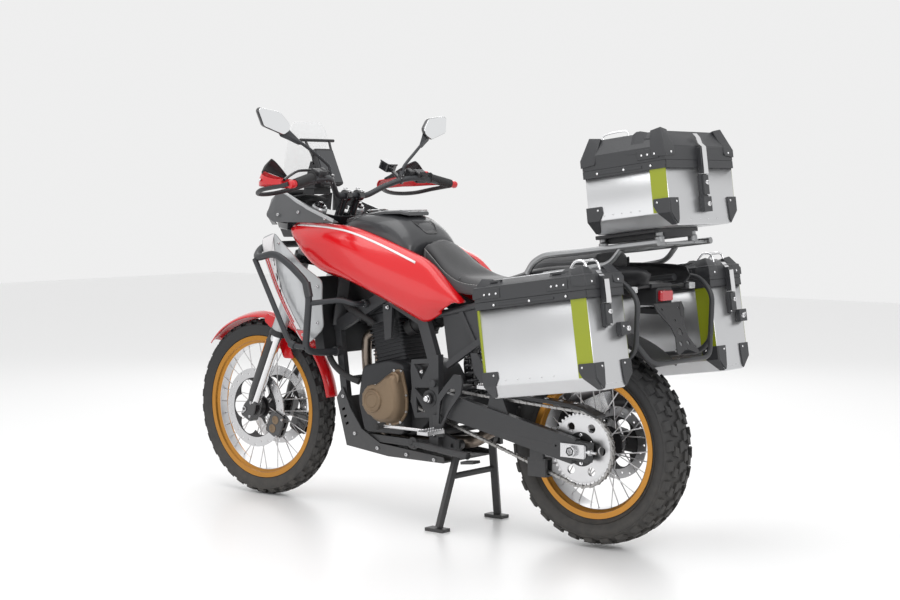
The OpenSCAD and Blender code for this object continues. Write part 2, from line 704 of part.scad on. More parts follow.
module luggage_rack() color("#9ea1a4") {
    both_sides() pipe([[-584, 164, 926], [-612, 170, 962], [-660, 172, 988], [-800, 168, 1002], [-1100, 160, 1039]], 11);
    both_sides() pipe([[-660, 172, 924], [-800, 172, 944], [-920, 168, 966], [-960, 166, 1014]], 9);
    difference() {
        translate([-830, 0, 1000]) rotate([0, top_tilt, 0]) union() {
            translate([-262, -161, 0]) cube([262, 322, 6]);
            for (x = [-240, -22]) for (s = sides) translate([x, s * 100, 6]) cylinder(h = 34, r = 16);
        }
        for (s = sides) translate([-960, s * 60, 1000]) rotate([0, top_tilt, 0]) translate([-60, -30, -20]) cube([150, 60, 60]);
    }
}

module pannier_rack() color("#3a3c3f") {
    both_sides() {
        for (x = rack_arm_x) {
            rod([x, 126, rail_z(x)], [x, 226, rail_z(x)], 8);
            translate([x - 14, 126, rail_z(x) - 14]) cube([28, 5, 28]);
        }
        pipe([[-800, 226, rail_z(-800)], [-1010, 226, rail_z(-1010)], [-1068, 226, 860], [-1062, 226, 700],
            [-1024, 226, 662], [-690, 226, 612], [-640, 226, 650], [-640, 226, rail_z(-640)], [-800, 226, rail_z(-800)]], 9);
        for (x = [-740, -930]) rod([x, 226, rail_z(x)], [x, 255, rail_z(x)], 7);
        for (x = [-740, -930]) rod([x, 226, 612 + (x + 690) * -0.153], [x, 262, 612 + (x + 690) * -0.153], 7);
    }
    pipe([[-1062, 226, 720], [-1092, 176, 650], [-1092, -176, 650], [-1062, -226, 720]], 8);
}

// ---------- rear suspension ----------

module swingarm() color("#2f3133") {
    difference() {
        union() {
            both_sides() {
                beam([-204, arm_y, 452], [-772, arm_y, 338], arm_t, 86);
                beam([-730, arm_y, 346], rear_axle + [-62, arm_y, -4], arm_t - 2, 66);
                beam([-150, 106, 467], [-300, 138, 436], 24, 50);
            }
            barrel(pivot - [0, 12, 0], 34, 216);
            barrel(pivot, 24, 248);
            translate([-330, -138, 398]) cube([60, 276, 80]);
            translate([-290, -22, 384]) cube([64, 44, 16]);
            // Chain guard over the upper run
            side_plate([[-396, 500], [-410, 513], [-560, 504], [-790, 490], [-862, 464], [-858, 454], [-790, 480], [-560, 495], [-410, 504]],
                chain_y - 12, 52);
            side_plate([[-400, 440], [-412, 506], [-460, 506], [-500, 420]], arm_y - 4, 8);
            // Chain guide under the lower run
            difference() {
                translate([-640, chain_y - 16, 234]) cube([74, 42, 64]);
                translate([-645, chain_y - 12, 240]) cube([90, 24, 52]);
            }
            translate([-632, chain_y + 14, 290]) cube([56, 14, 60]);
            translate([-632, chain_y + 14, 330]) cube([56, 22, 20]);
        }
        barrel(pivot, pivot_r + running, 600);
        barrel(rear_axle, rear_axle_r, 600);
        for (s = sides) barrel([spool_x, s * (arm_y + 4), spool_z], spool_r, 24);
    }
}

module rear_axle() color("#a9abad") {
    difference() {
        union() {
            barrel(rear_axle, rear_axle_r, 352);
            for (s = sides) barrel(rear_axle + [0, s * 173, 0], 19, 14);
            for (s = sides) translate(rear_axle + [0, s * 162, 0]) cube([96, 7, 46], center = true);
            barrel(rear_axle + [0, 121.5, 0], 20, 16);
            barrel(rear_axle + [0, -112, 0], 20, 35);
        }
        barrel(rear_axle, 8, 600);
    }
    // Caliper on its carrier, over the disc
    difference() {
        union() {
            beam(rear_axle + [0, -114, 0], rear_axle + [60, -114, 128], 10, 46);
            translate(rear_axle + [66, rear_disc_y, 126]) rotate([0, 24, 0]) cube([88, 44, 62], center = true);
        }
        barrel(rear_axle, rear_axle_r - 1, 600);
        barrel(rear_axle + [0, rear_disc_y, 0], rear_disc_r + 6, disc_t + 5);
    }
}

function belt(r_front, r_rear) =
    let (
        d = [front_sprocket[0] - rear_axle[0], front_sprocket[1] - rear_axle[2]],
        line = atan2(d[1], d[0]),
        lean = asin((r_rear - r_front) / norm(d))
    )
    concat(
        arc_points([rear_axle[0], rear_axle[2]], r_rear, line + 90 - lean, line + 270 + lean, 24),
        arc_points(front_sprocket, r_front, line - 90 + lean, line + 90 - lean, 12)
    );

module chain() color("#8d8f92")
    translate([0, chain_y + 8, 0]) rotate([90, 0, 0]) linear_extrude(height = 16) difference() {
        polygon(belt(front_sprocket_r + 8, sprocket_r + 14));
        polygon(belt(front_sprocket_r - 4, sprocket_r + 3));
    }

module rear_shock() color("#c9a227") {
    rod([-176, -70, 700], [-232, -70, 690], 10);
    rod([-210, 0, 716], [-246, 0, 403], 16);
    rod([-216, 0, 672], [-236, 0, 494], 36);
}

// ---------- foot rests, controls and guards ----------

module foot_pegs() color("#2b2c2e") {
    for (s = sides) {
        // Rider's peg and hanger
        beam([-188, s * 162, 396], [-204, s * 162, 336], 12, 40);
        translate([-230, s > 0 ? 168 : -268, 350]) cube([52, 100, 14]);
        // Heel guard
        side_plate([[-240, 376], [-168, 384], [-168, 540], [-232, 556], [-330, 590], [-344, 548], [-262, 470]], s > 0 ? 170 : -176, 6);
        rod([-176, s * 156, 524], [-176, s * 170, 524], 6);
        // Passenger peg and hanger
        side_plate([[-404, 690], [-366, 690], [-420, 530], [-452, 530]], s > 0 ? 144 : -150, 6);
        translate([-462, s > 0 ? 150 : -230, 526]) cube([46, 80, 12]);
    }
    // Gear lever on the left, brake pedal on the right
    pipe([[-170, 172, 352], [-60, 216, 362], [20, 222, 362]], 6);
    rod([20, 208, 362], [20, 262, 362], 8);
    pipe([[-170, -172, 334], [-60, -208, 326], [20, -216, 330]], 6);
    translate([8, -256, 324]) cube([40, 56, 12]);
    rod([-170, 156, 352], [-170, 178, 352], 8);
    rod([-170, -156, 334], [-170, -178, 334], 8);
}

// ---------- cases ----------

// Section across a case's body, bevelled along both lower edges, as [y, z]
function case_section(w, h) =
    [[case_bevel, 0], [w - case_bevel, 0], [w, case_bevel], [w, h], [0, h], [0, case_bevel]];

// Open-topped box, its outer front lower corner at the origin, running back along -X
module case_body(l, w, h) {
    difference() {
        rotate([90, 0, -90]) linear_extrude(height = l) polygon(case_section(w, h));
        translate([-case_wall, 0, 0]) rotate([90, 0, -90]) linear_extrude(height = l - 2 * case_wall)
            polygon([for (p = case_section(w, h)) [
                case_wall + p[0] * (w - 2 * case_wall) / w,
                p[1] == h ? h + 1 : case_wall + p[1] * (h - case_wall) / h
            ]]);
    }
}

// Corner brackets on the lower corners, riveted to the body
module case_brackets(l, w, t)
    for (x = [0, 1]) for (y = [0, 1])
        translate([x == 0 ? 3 : -l - 3, y == 0 ? -w - 3 : 3, 0])
            mirror([x, 0, 0]) mirror([0, 1 - y, 0]) {
                translate([-58, -3, 42]) cube([58, 3, 34]);
                translate([-3, -58, 42]) cube([3, 58, 34]);
            }

module case_lid(l, w, h) {
    inset = 30;
    difference() {
        union() {
            translate([-l - 4, -w - 4, 0]) cube([l + 8, w + 8, 46]);
            hull() {
                translate([-l - 4, -w - 4, 45]) cube([l + 8, w + 8, 1]);
                translate([-l + inset, -w + inset, h - 1]) cube([l - 2 * inset, w - 2 * inset, 1]);
            }
        }
        translate([-l + case_wall, -w + case_wall, -1]) cube([l - 2 * case_wall, w - 2 * case_wall, 40]);
        hull() {
            translate([-l + case_wall, -w + case_wall, 38]) cube([l - 2 * case_wall, w - 2 * case_wall, 1]);
            translate([-l + inset + 6, -w + inset + 6, h - case_wall - 1]) cube([l - 2 * inset - 12, w - 2 * inset - 12, 1]);
        }
    }
}

// Case frame of the left side case: X forward along its floor, Y from its outer wall inwards as negative
module pannier_frame() translate(pannier_foot + [0, pannier_y + pannier_w, 0]) rotate([0, pannier_tilt, 0]) children();

// Where the two hinges sit across a case that is w wide
function hinge_places(w) = [-w * 0.2, -w * 0.8];

// Middle knuckles and pins of the hinges, on the case, at height h
module case_hinges(w, h) for (y = hinge_places(w)) translate([hinge_x, y, h + lid_gap / 2]) {
    rotate([90, 0, 0]) cylinder(h = 16, r = hinge_r, center = true);
    rotate([90, 0, 0]) cylinder(h = 38, r = hinge_pin_r, center = true);
    translate([-hinge_x - 0.5, -8, -10]) cube([hinge_x - 1.5, 16, 7]);
}

// Outer knuckles of the hinges, on the lid
module lid_hinges(w) for (y = hinge_places(w)) translate([hinge_x, y, -lid_gap / 2]) difference() {
    for (side = sides) {
        translate([0, side * 14, 0]) rotate([90, 0, 0]) cylinder(h = 11, r = hinge_r, center = true);
        translate([-hinge_x + 3.5, side * 14 - 5.5, 3]) cube([hinge_x - 4.5, 11, 7]);
    }
    rotate([90, 0, 0]) cylinder(h = 50, r = hinge_pin_r + running, center = true);
}

module pannier() pannier_frame() {
    case_body(pannier_l, pannier_w, pannier_h);
    case_brackets(pannier_l, pannier_w, 3);
    case_hinges(pannier_w, pannier_h);
    // Lock on the rear wall
    translate([-pannier_l - 20, -70, 150]) cube([20, 46, 34]);
}
module left_pannier() color("#c3c5c8") pannier();
module right_pannier() color("#c3c5c8") mirror([0, 1, 0]) pannier();

module pannier_lid() pannier_frame() translate([0, 0, pannier_h + lid_gap]) {
    case_lid(pannier_l, pannier_w, pannier_lid_h);
    lid_hinges(pannier_w);
    // Latch on the rear edge
    translate([-pannier_l - 20, -100, 2]) cube([17, 30, 36]);
    translate([-pannier_l - 20, -100, -44]) cube([15, 30, 50]);
}
module left_pannier_lid() color("#2a2b2d") pannier_lid();
module right_pannier_lid() color("#2a2b2d") mirror([0, 1, 0]) pannier_lid();

module top_frame() translate(top_foot + [0, top_w / 2, 0]) rotate([0, top_tilt, 0]) children();
module top_case() color("#c3c5c8") top_frame() {
    case_body(top_l, top_w, top_h);
    case_brackets(top_l, top_w, 3);
    case_hinges(top_w, top_h);
}
module top_case_lid() color("#2a2b2d") top_frame() translate([0, 0, top_h + lid_gap]) {
    case_lid(top_l, top_w, top_lid_h);
    lid_hinges(top_w);
    // Latch on the rear edge
    translate([-top_l - 20, -top_w / 2 - 18, 2]) cube([17, 36, 36]);
    translate([-top_l - 20, -top_w / 2 - 18, -44]) cube([15, 36, 50]);
}

// ---------- stands ----------

module centre_stand() color("#2f3133") {
    foot = [-200, 168, 14];
    both_sides() {
        barrel(stand_pivot + [0, 94, 0], 17, 24);
        barrel(stand_pivot + [0, 112, 0], 8, 28);
        beam(stand_pivot + [0, 94, 0], foot, 26, 18);
        translate([foot[0] - 34, foot[1] - 20, 0]) cube([80, 44, 12]);
    }
    rod([-214, -112, 190], [-214, 112, 190], 11);
}

module side_stand() color("#2f3133") {
    hub = side_pivot + side_axis * 18;
    rod(hub, [-356, 198, 286], 12);
    rod(side_pivot + side_axis * 8, side_pivot + side_axis * 28, 20);
    rod(side_pivot - side_axis * 22, side_pivot + side_axis * 32, 8);
    translate([-394, 178, 264]) rotate([0, 6, 0]) cube([56, 40, 10]);
}

main_frame();
subframe();
engine();
engine_covers();
radiator();
skid_plate();
crash_bars();
exhaust();
fuel_tank();
side_panels();
front_fairing();
radiator_shrouds();
headlight();
windscreen();
dash();
rider_seat();
pillion_seat();
tail_fairing();
tail_light();
luggage_rack();
pannier_rack();
swingarm();
rear_axle();
chain();
rear_shock();
foot_pegs();
left_pannier();
right_pannier();
top_case();
fork();
front_axle();
front_fender();
front_calipers();
handlebar();
hand_guards();
mirrors();
front_tyre();
front_wheel();
front_discs();
rear_tyre();
rear_wheel();
rear_disc();
sprocket();
centre_stand();
side_stand();
left_pannier_lid();
right_pannier_lid();
top_case_lid();
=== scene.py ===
# Adventure motorcycle: its finishes and fine shapes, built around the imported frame.
# Shapes are written in millimetres in the row frame: +X forward, +Y the rider's left, +Z up.
import json
import math
import random

import bmesh
import bpy
from mathutils import Matrix, Vector

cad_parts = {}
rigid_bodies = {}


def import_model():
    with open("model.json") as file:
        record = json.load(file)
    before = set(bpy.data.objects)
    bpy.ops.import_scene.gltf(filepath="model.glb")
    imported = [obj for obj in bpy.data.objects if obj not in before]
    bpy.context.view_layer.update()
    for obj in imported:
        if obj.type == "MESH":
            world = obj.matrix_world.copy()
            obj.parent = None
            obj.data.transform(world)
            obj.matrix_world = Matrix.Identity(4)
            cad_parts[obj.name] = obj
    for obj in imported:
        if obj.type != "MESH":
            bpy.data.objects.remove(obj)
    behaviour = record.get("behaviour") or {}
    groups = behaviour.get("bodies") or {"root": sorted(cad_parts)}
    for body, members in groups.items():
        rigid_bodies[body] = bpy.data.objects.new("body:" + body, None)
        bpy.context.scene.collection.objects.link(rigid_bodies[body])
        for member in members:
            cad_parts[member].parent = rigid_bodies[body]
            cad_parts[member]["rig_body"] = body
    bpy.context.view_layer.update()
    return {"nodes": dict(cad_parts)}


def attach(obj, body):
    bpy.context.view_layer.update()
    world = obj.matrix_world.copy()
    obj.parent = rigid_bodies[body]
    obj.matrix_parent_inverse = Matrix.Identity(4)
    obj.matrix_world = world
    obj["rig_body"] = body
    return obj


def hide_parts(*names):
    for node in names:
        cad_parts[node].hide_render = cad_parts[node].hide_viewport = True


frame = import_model()
nodes = frame["nodes"]
random.seed(7)

# Places that several pieces share
frontAxle = (827.5, 0, 347.5)
rearAxle = (-772.5, 0, 341.5)
steerFoot = 932.5
rake = math.radians(25)
forkSide = 104
forkOffset = 30
barLow, barHigh = -14, 1316  # handlebar: ahead of the steering axis, and along it


def steered(p, y, s):
    # Point p ahead of the steering axis and s along it
    return (steerFoot + p * math.cos(rake) - s * math.sin(rake), y, p * math.sin(rake) + s * math.cos(rake))


# Mesh helpers
def smoothed(points, steps=6, closed=False):
    # Catmull-Rom curve through a list of points
    pts = [Vector(p) for p in points]
    n = len(pts)
    out = []
    for i in range(n if closed else n - 1):
        if closed:
            a, b, c, d = (pts[(i + k - 1) % n] for k in range(4))
        else:
            b, c = pts[i], pts[i + 1]
            a = pts[i - 1] if i else b * 2 - c
            d = pts[i + 2] if i + 2 < n else c * 2 - b
        for k in range(steps):
            t = k / steps
            out.append(0.5 * (2 * b + (c - a) * t + (2 * a - 5 * b + 4 * c - d) * t * t
                              + (3 * b - a - 3 * c + d) * t ** 3))
    if not closed:
        out.append(pts[-1])
    return out


def addLoft(bm, rings, capped=True, closedRing=True):
    # Skins a list of rings of points, given in millimetres
    rows = [[bm.verts.new(Vector(p) / 1000) for p in ring] for ring in rings]
    n = len(rows[0])
    for a, b in zip(rows, rows[1:]):
        for i in range(n if closedRing else n - 1):
            j = (i + 1) % n
            bm.faces.new((a[i], a[j], b[j], b[i]))
    if capped and closedRing:
        bm.faces.new(rows[0][::-1])
        bm.faces.new(rows[-1])
    return rows


def addTube(bm, points, radius, sides=12, capped=True):
    # Round tube along points. radius is one number, or one for each point
    pts = [Vector(p) for p in points]
    radii = radius if hasattr(radius, "__len__") else [radius] * len(pts)
    rings = []
    side = None
    for i, p in enumerate(pts):
        ahead = (pts[min(i + 1, len(pts) - 1)] - pts[max(i - 1, 0)]).normalized()
        if side is None:
            side = ahead.orthogonal().normalized()
        side = (side - ahead * side.dot(ahead)).normalized()
        up = ahead.cross(side)
        rings.append([p + (side * math.cos(a) + up * math.sin(a)) * radii[i]
                      for a in (2 * math.pi * k / sides for k in range(sides))])
    addLoft(bm, rings, capped)


def addBent(bm, points, radius, sides=14, steps=7):
    addTube(bm, smoothed(points, steps), radius, sides)


def rounded(outline, radius, steps=4):
    # Outline of [x, z] with its corners rounded
    out = []
    n = len(outline)
    for i in range(n):
        p, a, b = (Vector(outline[k % n]) for k in (i, i - 1, i + 1))
        r = min(radius, (a - p).length * 0.45, (b - p).length * 0.45)
        start, end = p + (a - p).normalized() * r, p + (b - p).normalized() * r
        for k in range(steps + 1):
            t = k / steps
            out.append(start * (1 - t) ** 2 + p * 2 * t * (1 - t) + end * t * t)
    return out


def addPlate(bm, outline, y0, y1):
    # Upright plate with an outline in X and Z, from y0 to y1
    addLoft(bm, [[(p[0], y, p[1]) for p in outline] for y in (y0, y1)])


def addBlock(bm, centre, size, turn=None):
    # Box about centre, turned by a matrix
    made = bmesh.ops.create_cube(bm, size=1)["verts"]
    place = Matrix.Translation(Vector(centre) / 1000) @ (turn.to_4x4() if turn else Matrix.Identity(4))
    bmesh.ops.transform(bm, matrix=place @ Matrix.Diagonal((*(s / 1000 for s in size), 1)), verts=made)


def addLathe(bm, centre, axis, profile, steps=48, capped=True):
    # Turned shape: profile is a list of [radius, distance along axis]
    along = Vector(axis).normalized()
    side = along.orthogonal().normalized()
    up = along.cross(side)
    c = Vector(centre)
    rings = [[c + along * h + (side * math.cos(a) + up * math.sin(a)) * max(r, 0.01)
              for a in (2 * math.pi * k / steps for k in range(steps))] for r, h in profile]
    addLoft(bm, rings, capped)


def addSkin(bm, curves, steps=6, rowSteps=5):
    # Smooth sheet through curves that all have the same number of points
    rows = [smoothed(c, steps) for c in curves]
    columns = [smoothed(col, rowSteps) for col in zip(*rows)]
    grid = list(zip(*columns))
    addLoft(bm, grid, closedRing=False)
    return grid


def addMirror(bm):
    made = bmesh.ops.duplicate(bm, geom=bm.verts[:] + bm.edges[:] + bm.faces[:])["geom"]
    verts = [g for g in made if isinstance(g, bmesh.types.BMVert)]
    for v in verts:
        v.co.y = -v.co.y
    bmesh.ops.reverse_faces(bm, faces=[g for g in made if isinstance(g, bmesh.types.BMFace)])


def turnY(degrees):
    return Matrix.Rotation(math.radians(degrees), 3, "Y")


def settle(o, body, material, stands):
    o.data.materials.clear()
    o.data.materials.append(material)
    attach(o, body)
    if stands:
        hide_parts(*stands)
    return o


def piece(name, bm, material, body="chassis", bevel=0.0, levels=0, wall=0.0, smooth=35,
        stands=()):
    # Turns a bmesh into a finished piece that rides on a body
    bmesh.ops.remove_doubles(bm, verts=bm.verts, dist=1e-5)
    bmesh.ops.recalc_face_normals(bm, faces=bm.faces)
    mesh = bpy.data.meshes.new(name)
    bm.to_mesh(mesh)
    bm.free()
    mesh.shade_smooth()
    mesh.set_sharp_from_angle(angle=math.radians(smooth))
    o = bpy.data.objects.new(name, mesh)
    bpy.context.scene.collection.objects.link(o)
    if wall:
        m = o.modifiers.new("wall", "SOLIDIFY")
        m.thickness = wall / 1000
        m.offset = -1
    if bevel:
        m = o.modifiers.new("edges", "BEVEL")
        m.width = bevel / 1000
        m.segments = 2
        m.limit_method = "ANGLE"
        m.angle_limit = math.radians(32)
        m.harden_normals = False
    if levels:
        m = o.modifiers.new("smoothing", "SUBSURF")
        m.levels = m.render_levels = levels
    return settle(o, body, material, stands)


def softened(node, material, bevel, body=None, smooth=32):
    # Copy of a CAD node with its edges broken, which stands for it
    bm = bmesh.new()
    bm.from_mesh(nodes[node].data)
    bmesh.ops.remove_doubles(bm, verts=bm.verts, dist=2e-5)
    bmesh.ops.dissolve_limit(bm, angle_limit=math.radians(1.5), verts=bm.verts, edges=bm.edges)
    mesh = bpy.data.meshes.new(node + "_skin")
    bm.to_mesh(mesh)
    bm.free()
    mesh.shade_smooth()
    mesh.set_sharp_from_angle(angle=math.radians(smooth))
    o = bpy.data.objects.new(node + "_skin", mesh)
    bpy.context.scene.collection.objects.link(o)
    m = o.modifiers.new("edges", "BEVEL")
    m.width = bevel / 1000
    m.segments = 2
    m.limit_method = "ANGLE"
    m.angle_limit = math.radians(34)
    m.use_clamp_overlap = True
    return settle(o, body or nodes[node]["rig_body"], material, (node,))


# Shader groups
def shaderGroup(name, inputs, outputs):
    tree = bpy.data.node_groups.new(name, "ShaderNodeTree")
    for label, kind, value in inputs:
        socket = tree.interface.new_socket(label, in_out="INPUT", socket_type=kind)
        socket.default_value = value
    for label, kind in outputs:
        tree.interface.new_socket(label, in_out="OUTPUT", socket_type=kind)
    return tree, tree.nodes.new("NodeGroupInput"), tree.nodes.new("NodeGroupOutput")


def wire(tree, pairs):
    for a, b in pairs:
        tree.links.new(a, b)


def mathNode(tree, operation, a, b=None, c=None):
    node = tree.nodes.new("ShaderNodeMath")
    node.operation = operation
    for i, v in enumerate((a, b, c)):
        if v is None:
            continue
        if isinstance(v, (int, float)):
            node.inputs[i].default_value = v
        else:
            tree.links.new(v, node.inputs[i])
    return node.outputs[0]


def grainGroup():
    # Fine grain, stretched as brushing or rolling leaves it: a height for bump and a mask of light and dark
    tree, gin, gout = shaderGroup("surfaceGrain",
        [("Scale", "NodeSocketFloat", 900.0), ("Stretch", "NodeSocketVector", (1, 1, 1)),
         ("Cells", "NodeSocketFloat", 0.0), ("Blotch", "NodeSocketFloat", 9.0)],
        [("Height", "NodeSocketFloat"), ("Mask", "NodeSocketFloat")])
    where = tree.nodes.new("ShaderNodeTexCoord")
    stretch = tree.nodes.new("ShaderNodeVectorMath")
    stretch.operation = "MULTIPLY"
    fine = tree.nodes.new("ShaderNodeTexNoise")
    fine.inputs["Detail"].default_value = 3
    cells = tree.nodes.new("ShaderNodeTexVoronoi")
    cells.feature = "SMOOTH_F1"
    broad = tree.nodes.new("ShaderNodeTexNoise")
    broad.inputs["Detail"].default_value = 5
    wire(tree, [(where.outputs["Object"], stretch.inputs[0]), (gin.outputs["Stretch"], stretch.inputs[1]),
                (stretch.outputs[0], fine.inputs["Vector"]), (gin.outputs["Scale"], fine.inputs["Scale"]),
                (where.outputs["Object"], cells.inputs["Vector"]),
                (gin.outputs["Scale"], cells.inputs["Scale"]),
                (where.outputs["Object"], broad.inputs["Vector"]),
                (gin.outputs["Blotch"], broad.inputs["Scale"])])
    pebble = mathNode(tree, "MULTIPLY", cells.outputs["Distance"], gin.outputs["Cells"])
    height = mathNode(tree, "ADD", pebble, fine.outputs["Fac"])
    share = mathNode(tree, "MULTIPLY", fine.outputs["Fac"], 0.4)
    mask = mathNode(tree, "MULTIPLY_ADD", broad.outputs["Fac"], 0.6, share)
    wire(tree, [(height, gout.inputs["Height"]), (mask, gout.inputs["Mask"])])
    return tree


def dustGroup():
    # A little road dust that gathers low down: a new colour and an extra roughness
    tree, gin, gout = shaderGroup("roadDust",
        [("Colour", "NodeSocketColor", (0.5, 0.5, 0.5, 1)),
        ("Dust", "NodeSocketColor", (0.30, 0.27, 0.23, 1)),
         ("Amount", "NodeSocketFloat", 0.15), ("Height", "NodeSocketFloat", 0.5)],
        [("Colour", "NodeSocketColor"), ("Roughness", "NodeSocketFloat")])
    where = tree.nodes.new("ShaderNodeTexCoord")
    parts = tree.nodes.new("ShaderNodeSeparateXYZ")
    specks = tree.nodes.new("ShaderNodeTexNoise")
    specks.inputs["Scale"].default_value = 38
    specks.inputs["Detail"].default_value = 7
    low = tree.nodes.new("ShaderNodeMapRange")
    low.inputs["From Min"].default_value = 0
    low.inputs["To Min"].default_value = 1
    low.inputs["To Max"].default_value = 0
    mix = tree.nodes.new("ShaderNodeMix")
    mix.data_type = "RGBA"
    wire(tree, [(where.outputs["Object"], parts.inputs[0]),
        (where.outputs["Object"], specks.inputs["Vector"]),
                (parts.outputs["Z"], low.inputs["Value"]), (gin.outputs["Height"], low.inputs["From Max"])])
    spread = mathNode(tree, "MULTIPLY", low.outputs[0], specks.outputs["Fac"])
    amount = mathNode(tree, "MULTIPLY", spread, gin.outputs["Amount"])
    wire(tree, [(amount, mix.inputs[0]), (gin.outputs["Colour"], mix.inputs[6]),
        (gin.outputs["Dust"], mix.inputs[7]),
                (mix.outputs[2], gout.inputs["Colour"]), (amount, gout.inputs["Roughness"])])
    return tree


def zoneGroup():
    # Mask that is 1 where a distance from an axis along Y lies between two radii
    tree, gin, gout = shaderGroup("ringZone",
        [("Centre", "NodeSocketVector", (0, 0, 0)), ("Inner", "NodeSocketFloat", 0.1),
        ("Outer", "NodeSocketFloat", 0.2)],
        [("Mask", "NodeSocketFloat"), ("Radius", "NodeSocketFloat")])
    where = tree.nodes.new("ShaderNodeTexCoord")
    offset = tree.nodes.new("ShaderNodeVectorMath")
    offset.operation = "SUBTRACT"
    flat = tree.nodes.new("ShaderNodeVectorMath")
    flat.operation = "MULTIPLY"
    flat.inputs[1].default_value = (1, 0, 1)
    length = tree.nodes.new("ShaderNodeVectorMath")
    length.operation = "LENGTH"
    wire(tree, [(where.outputs["Object"], offset.inputs[0]), (gin.outputs["Centre"], offset.inputs[1]),
                (offset.outputs[0], flat.inputs[0]), (flat.outputs[0], length.inputs[0])])
    outside = mathNode(tree, "GREATER_THAN", length.outputs["Value"], gin.outputs["Inner"])
    inside = mathNode(tree, "LESS_THAN", length.outputs["Value"], gin.outputs["Outer"])
    wire(tree, [(mathNode(tree, "MULTIPLY", outside, inside), gout.inputs["Mask"]),
                (length.outputs["Value"], gout.inputs["Radius"])])
    return tree


surfaceGrain, roadDust, ringZone = grainGroup(), dustGroup(), zoneGroup()


def place(tree, group, values):
    node = tree.nodes.new("ShaderNodeGroup")
    node.node_tree = group
    for label, value in values.items():
        node.inputs[label].default_value = value
    return node


def blendColours(tree, mask, a, b):
    node = tree.nodes.new("ShaderNodeMix")
    node.data_type = "RGBA"
    for socket, value in ((0, mask), (6, a), (7, b)):
        if isinstance(value, tuple):
            node.inputs[socket].default_value = value
        else:
            tree.links.new(value, node.inputs[socket])
    return node.outputs[2]


def finishOf(name, colour, rough=0.4, metallic=0.0, scale=900, depth=0.15, cells=0.0, stretch=(1, 1, 1),
        blotch=9,
             shade=0.12, roughSpread=0.12, dust=0.12, dustHeight=0.55, coat=0.0, zones=(), bumpAt=0.0006,
             sheen=0.0):
    # Material with grain, blotches of light and dark, and road dust
    # zones are (centre, inner, outer, colour, metallic)
    m = bpy.data.materials.new(name)
    m.use_nodes = True
    tree = m.node_tree
    shader = tree.nodes["Principled BSDF"]
    grain = place(tree, surfaceGrain, {"Scale": scale, "Stretch": stretch, "Cells": cells,
        "Blotch": blotch})
    light = tuple(min(1, c * (1 + shade)) for c in colour) + (1,)
    dark = tuple(c * (1 - shade) for c in colour) + (1,)
    tint = blendColours(tree, grain.outputs["Mask"], dark, light)
    metal = None
    for centre, inner, outer, zoneColour, zoneMetal in zones:
        zone = place(tree, ringZone, {"Centre": tuple(c / 1000 for c in centre), "Inner": inner / 1000,
            "Outer": outer / 1000})
        tint = blendColours(tree, zone.outputs["Mask"], tint, zoneColour + (1,))
        change = mathNode(tree, "MULTIPLY", zone.outputs["Mask"], zoneMetal - metallic)
        metal = mathNode(tree, "ADD", metal if metal is not None else metallic, change)
    dusty = place(tree, roadDust, {"Amount": dust, "Height": dustHeight})
    tree.links.new(tint, dusty.inputs["Colour"])
    tree.links.new(dusty.outputs["Colour"], shader.inputs["Base Color"])
    spread = mathNode(tree, "MULTIPLY_ADD", grain.outputs["Mask"], roughSpread, rough - roughSpread / 2)
    tree.links.new(mathNode(tree, "ADD", spread, dusty.outputs["Roughness"]), shader.inputs["Roughness"])
    if metal is None:
        shader.inputs["Metallic"].default_value = metallic
    else:
        tree.links.new(metal, shader.inputs["Metallic"])
    shader.inputs["Coat Weight"].default_value = coat
    shader.inputs["Coat Roughness"].default_value = 0.04
    shader.inputs["Sheen Weight"].default_value = sheen
    bump = tree.nodes.new("ShaderNodeBump")
    bump.inputs["Strength"].default_value = depth
    bump.inputs["Distance"].default_value = bumpAt
    wire(tree, [(grain.outputs["Height"], bump.inputs["Height"]),
        (bump.outputs[0], shader.inputs["Normal"])])
    return m


def glassOf(name, colour, alpha, rough=0.03, transmission=0.0):
    m = bpy.data.materials.new(name)
    m.use_nodes = True
    shader = m.node_tree.nodes["Principled BSDF"]
    haze = place(m.node_tree, surfaceGrain, {"Scale": 260, "Blotch": 14})
    wire(m.node_tree, [(mathNode(m.node_tree, "MULTIPLY_ADD", haze.outputs["Mask"], 0.05, rough),
        shader.inputs["Roughness"])])
    shader.inputs["Base Color"].default_value = colour + (1,)
    shader.inputs["Alpha"].default_value = alpha
    shader.inputs["Transmission Weight"].default_value = transmission
    return m


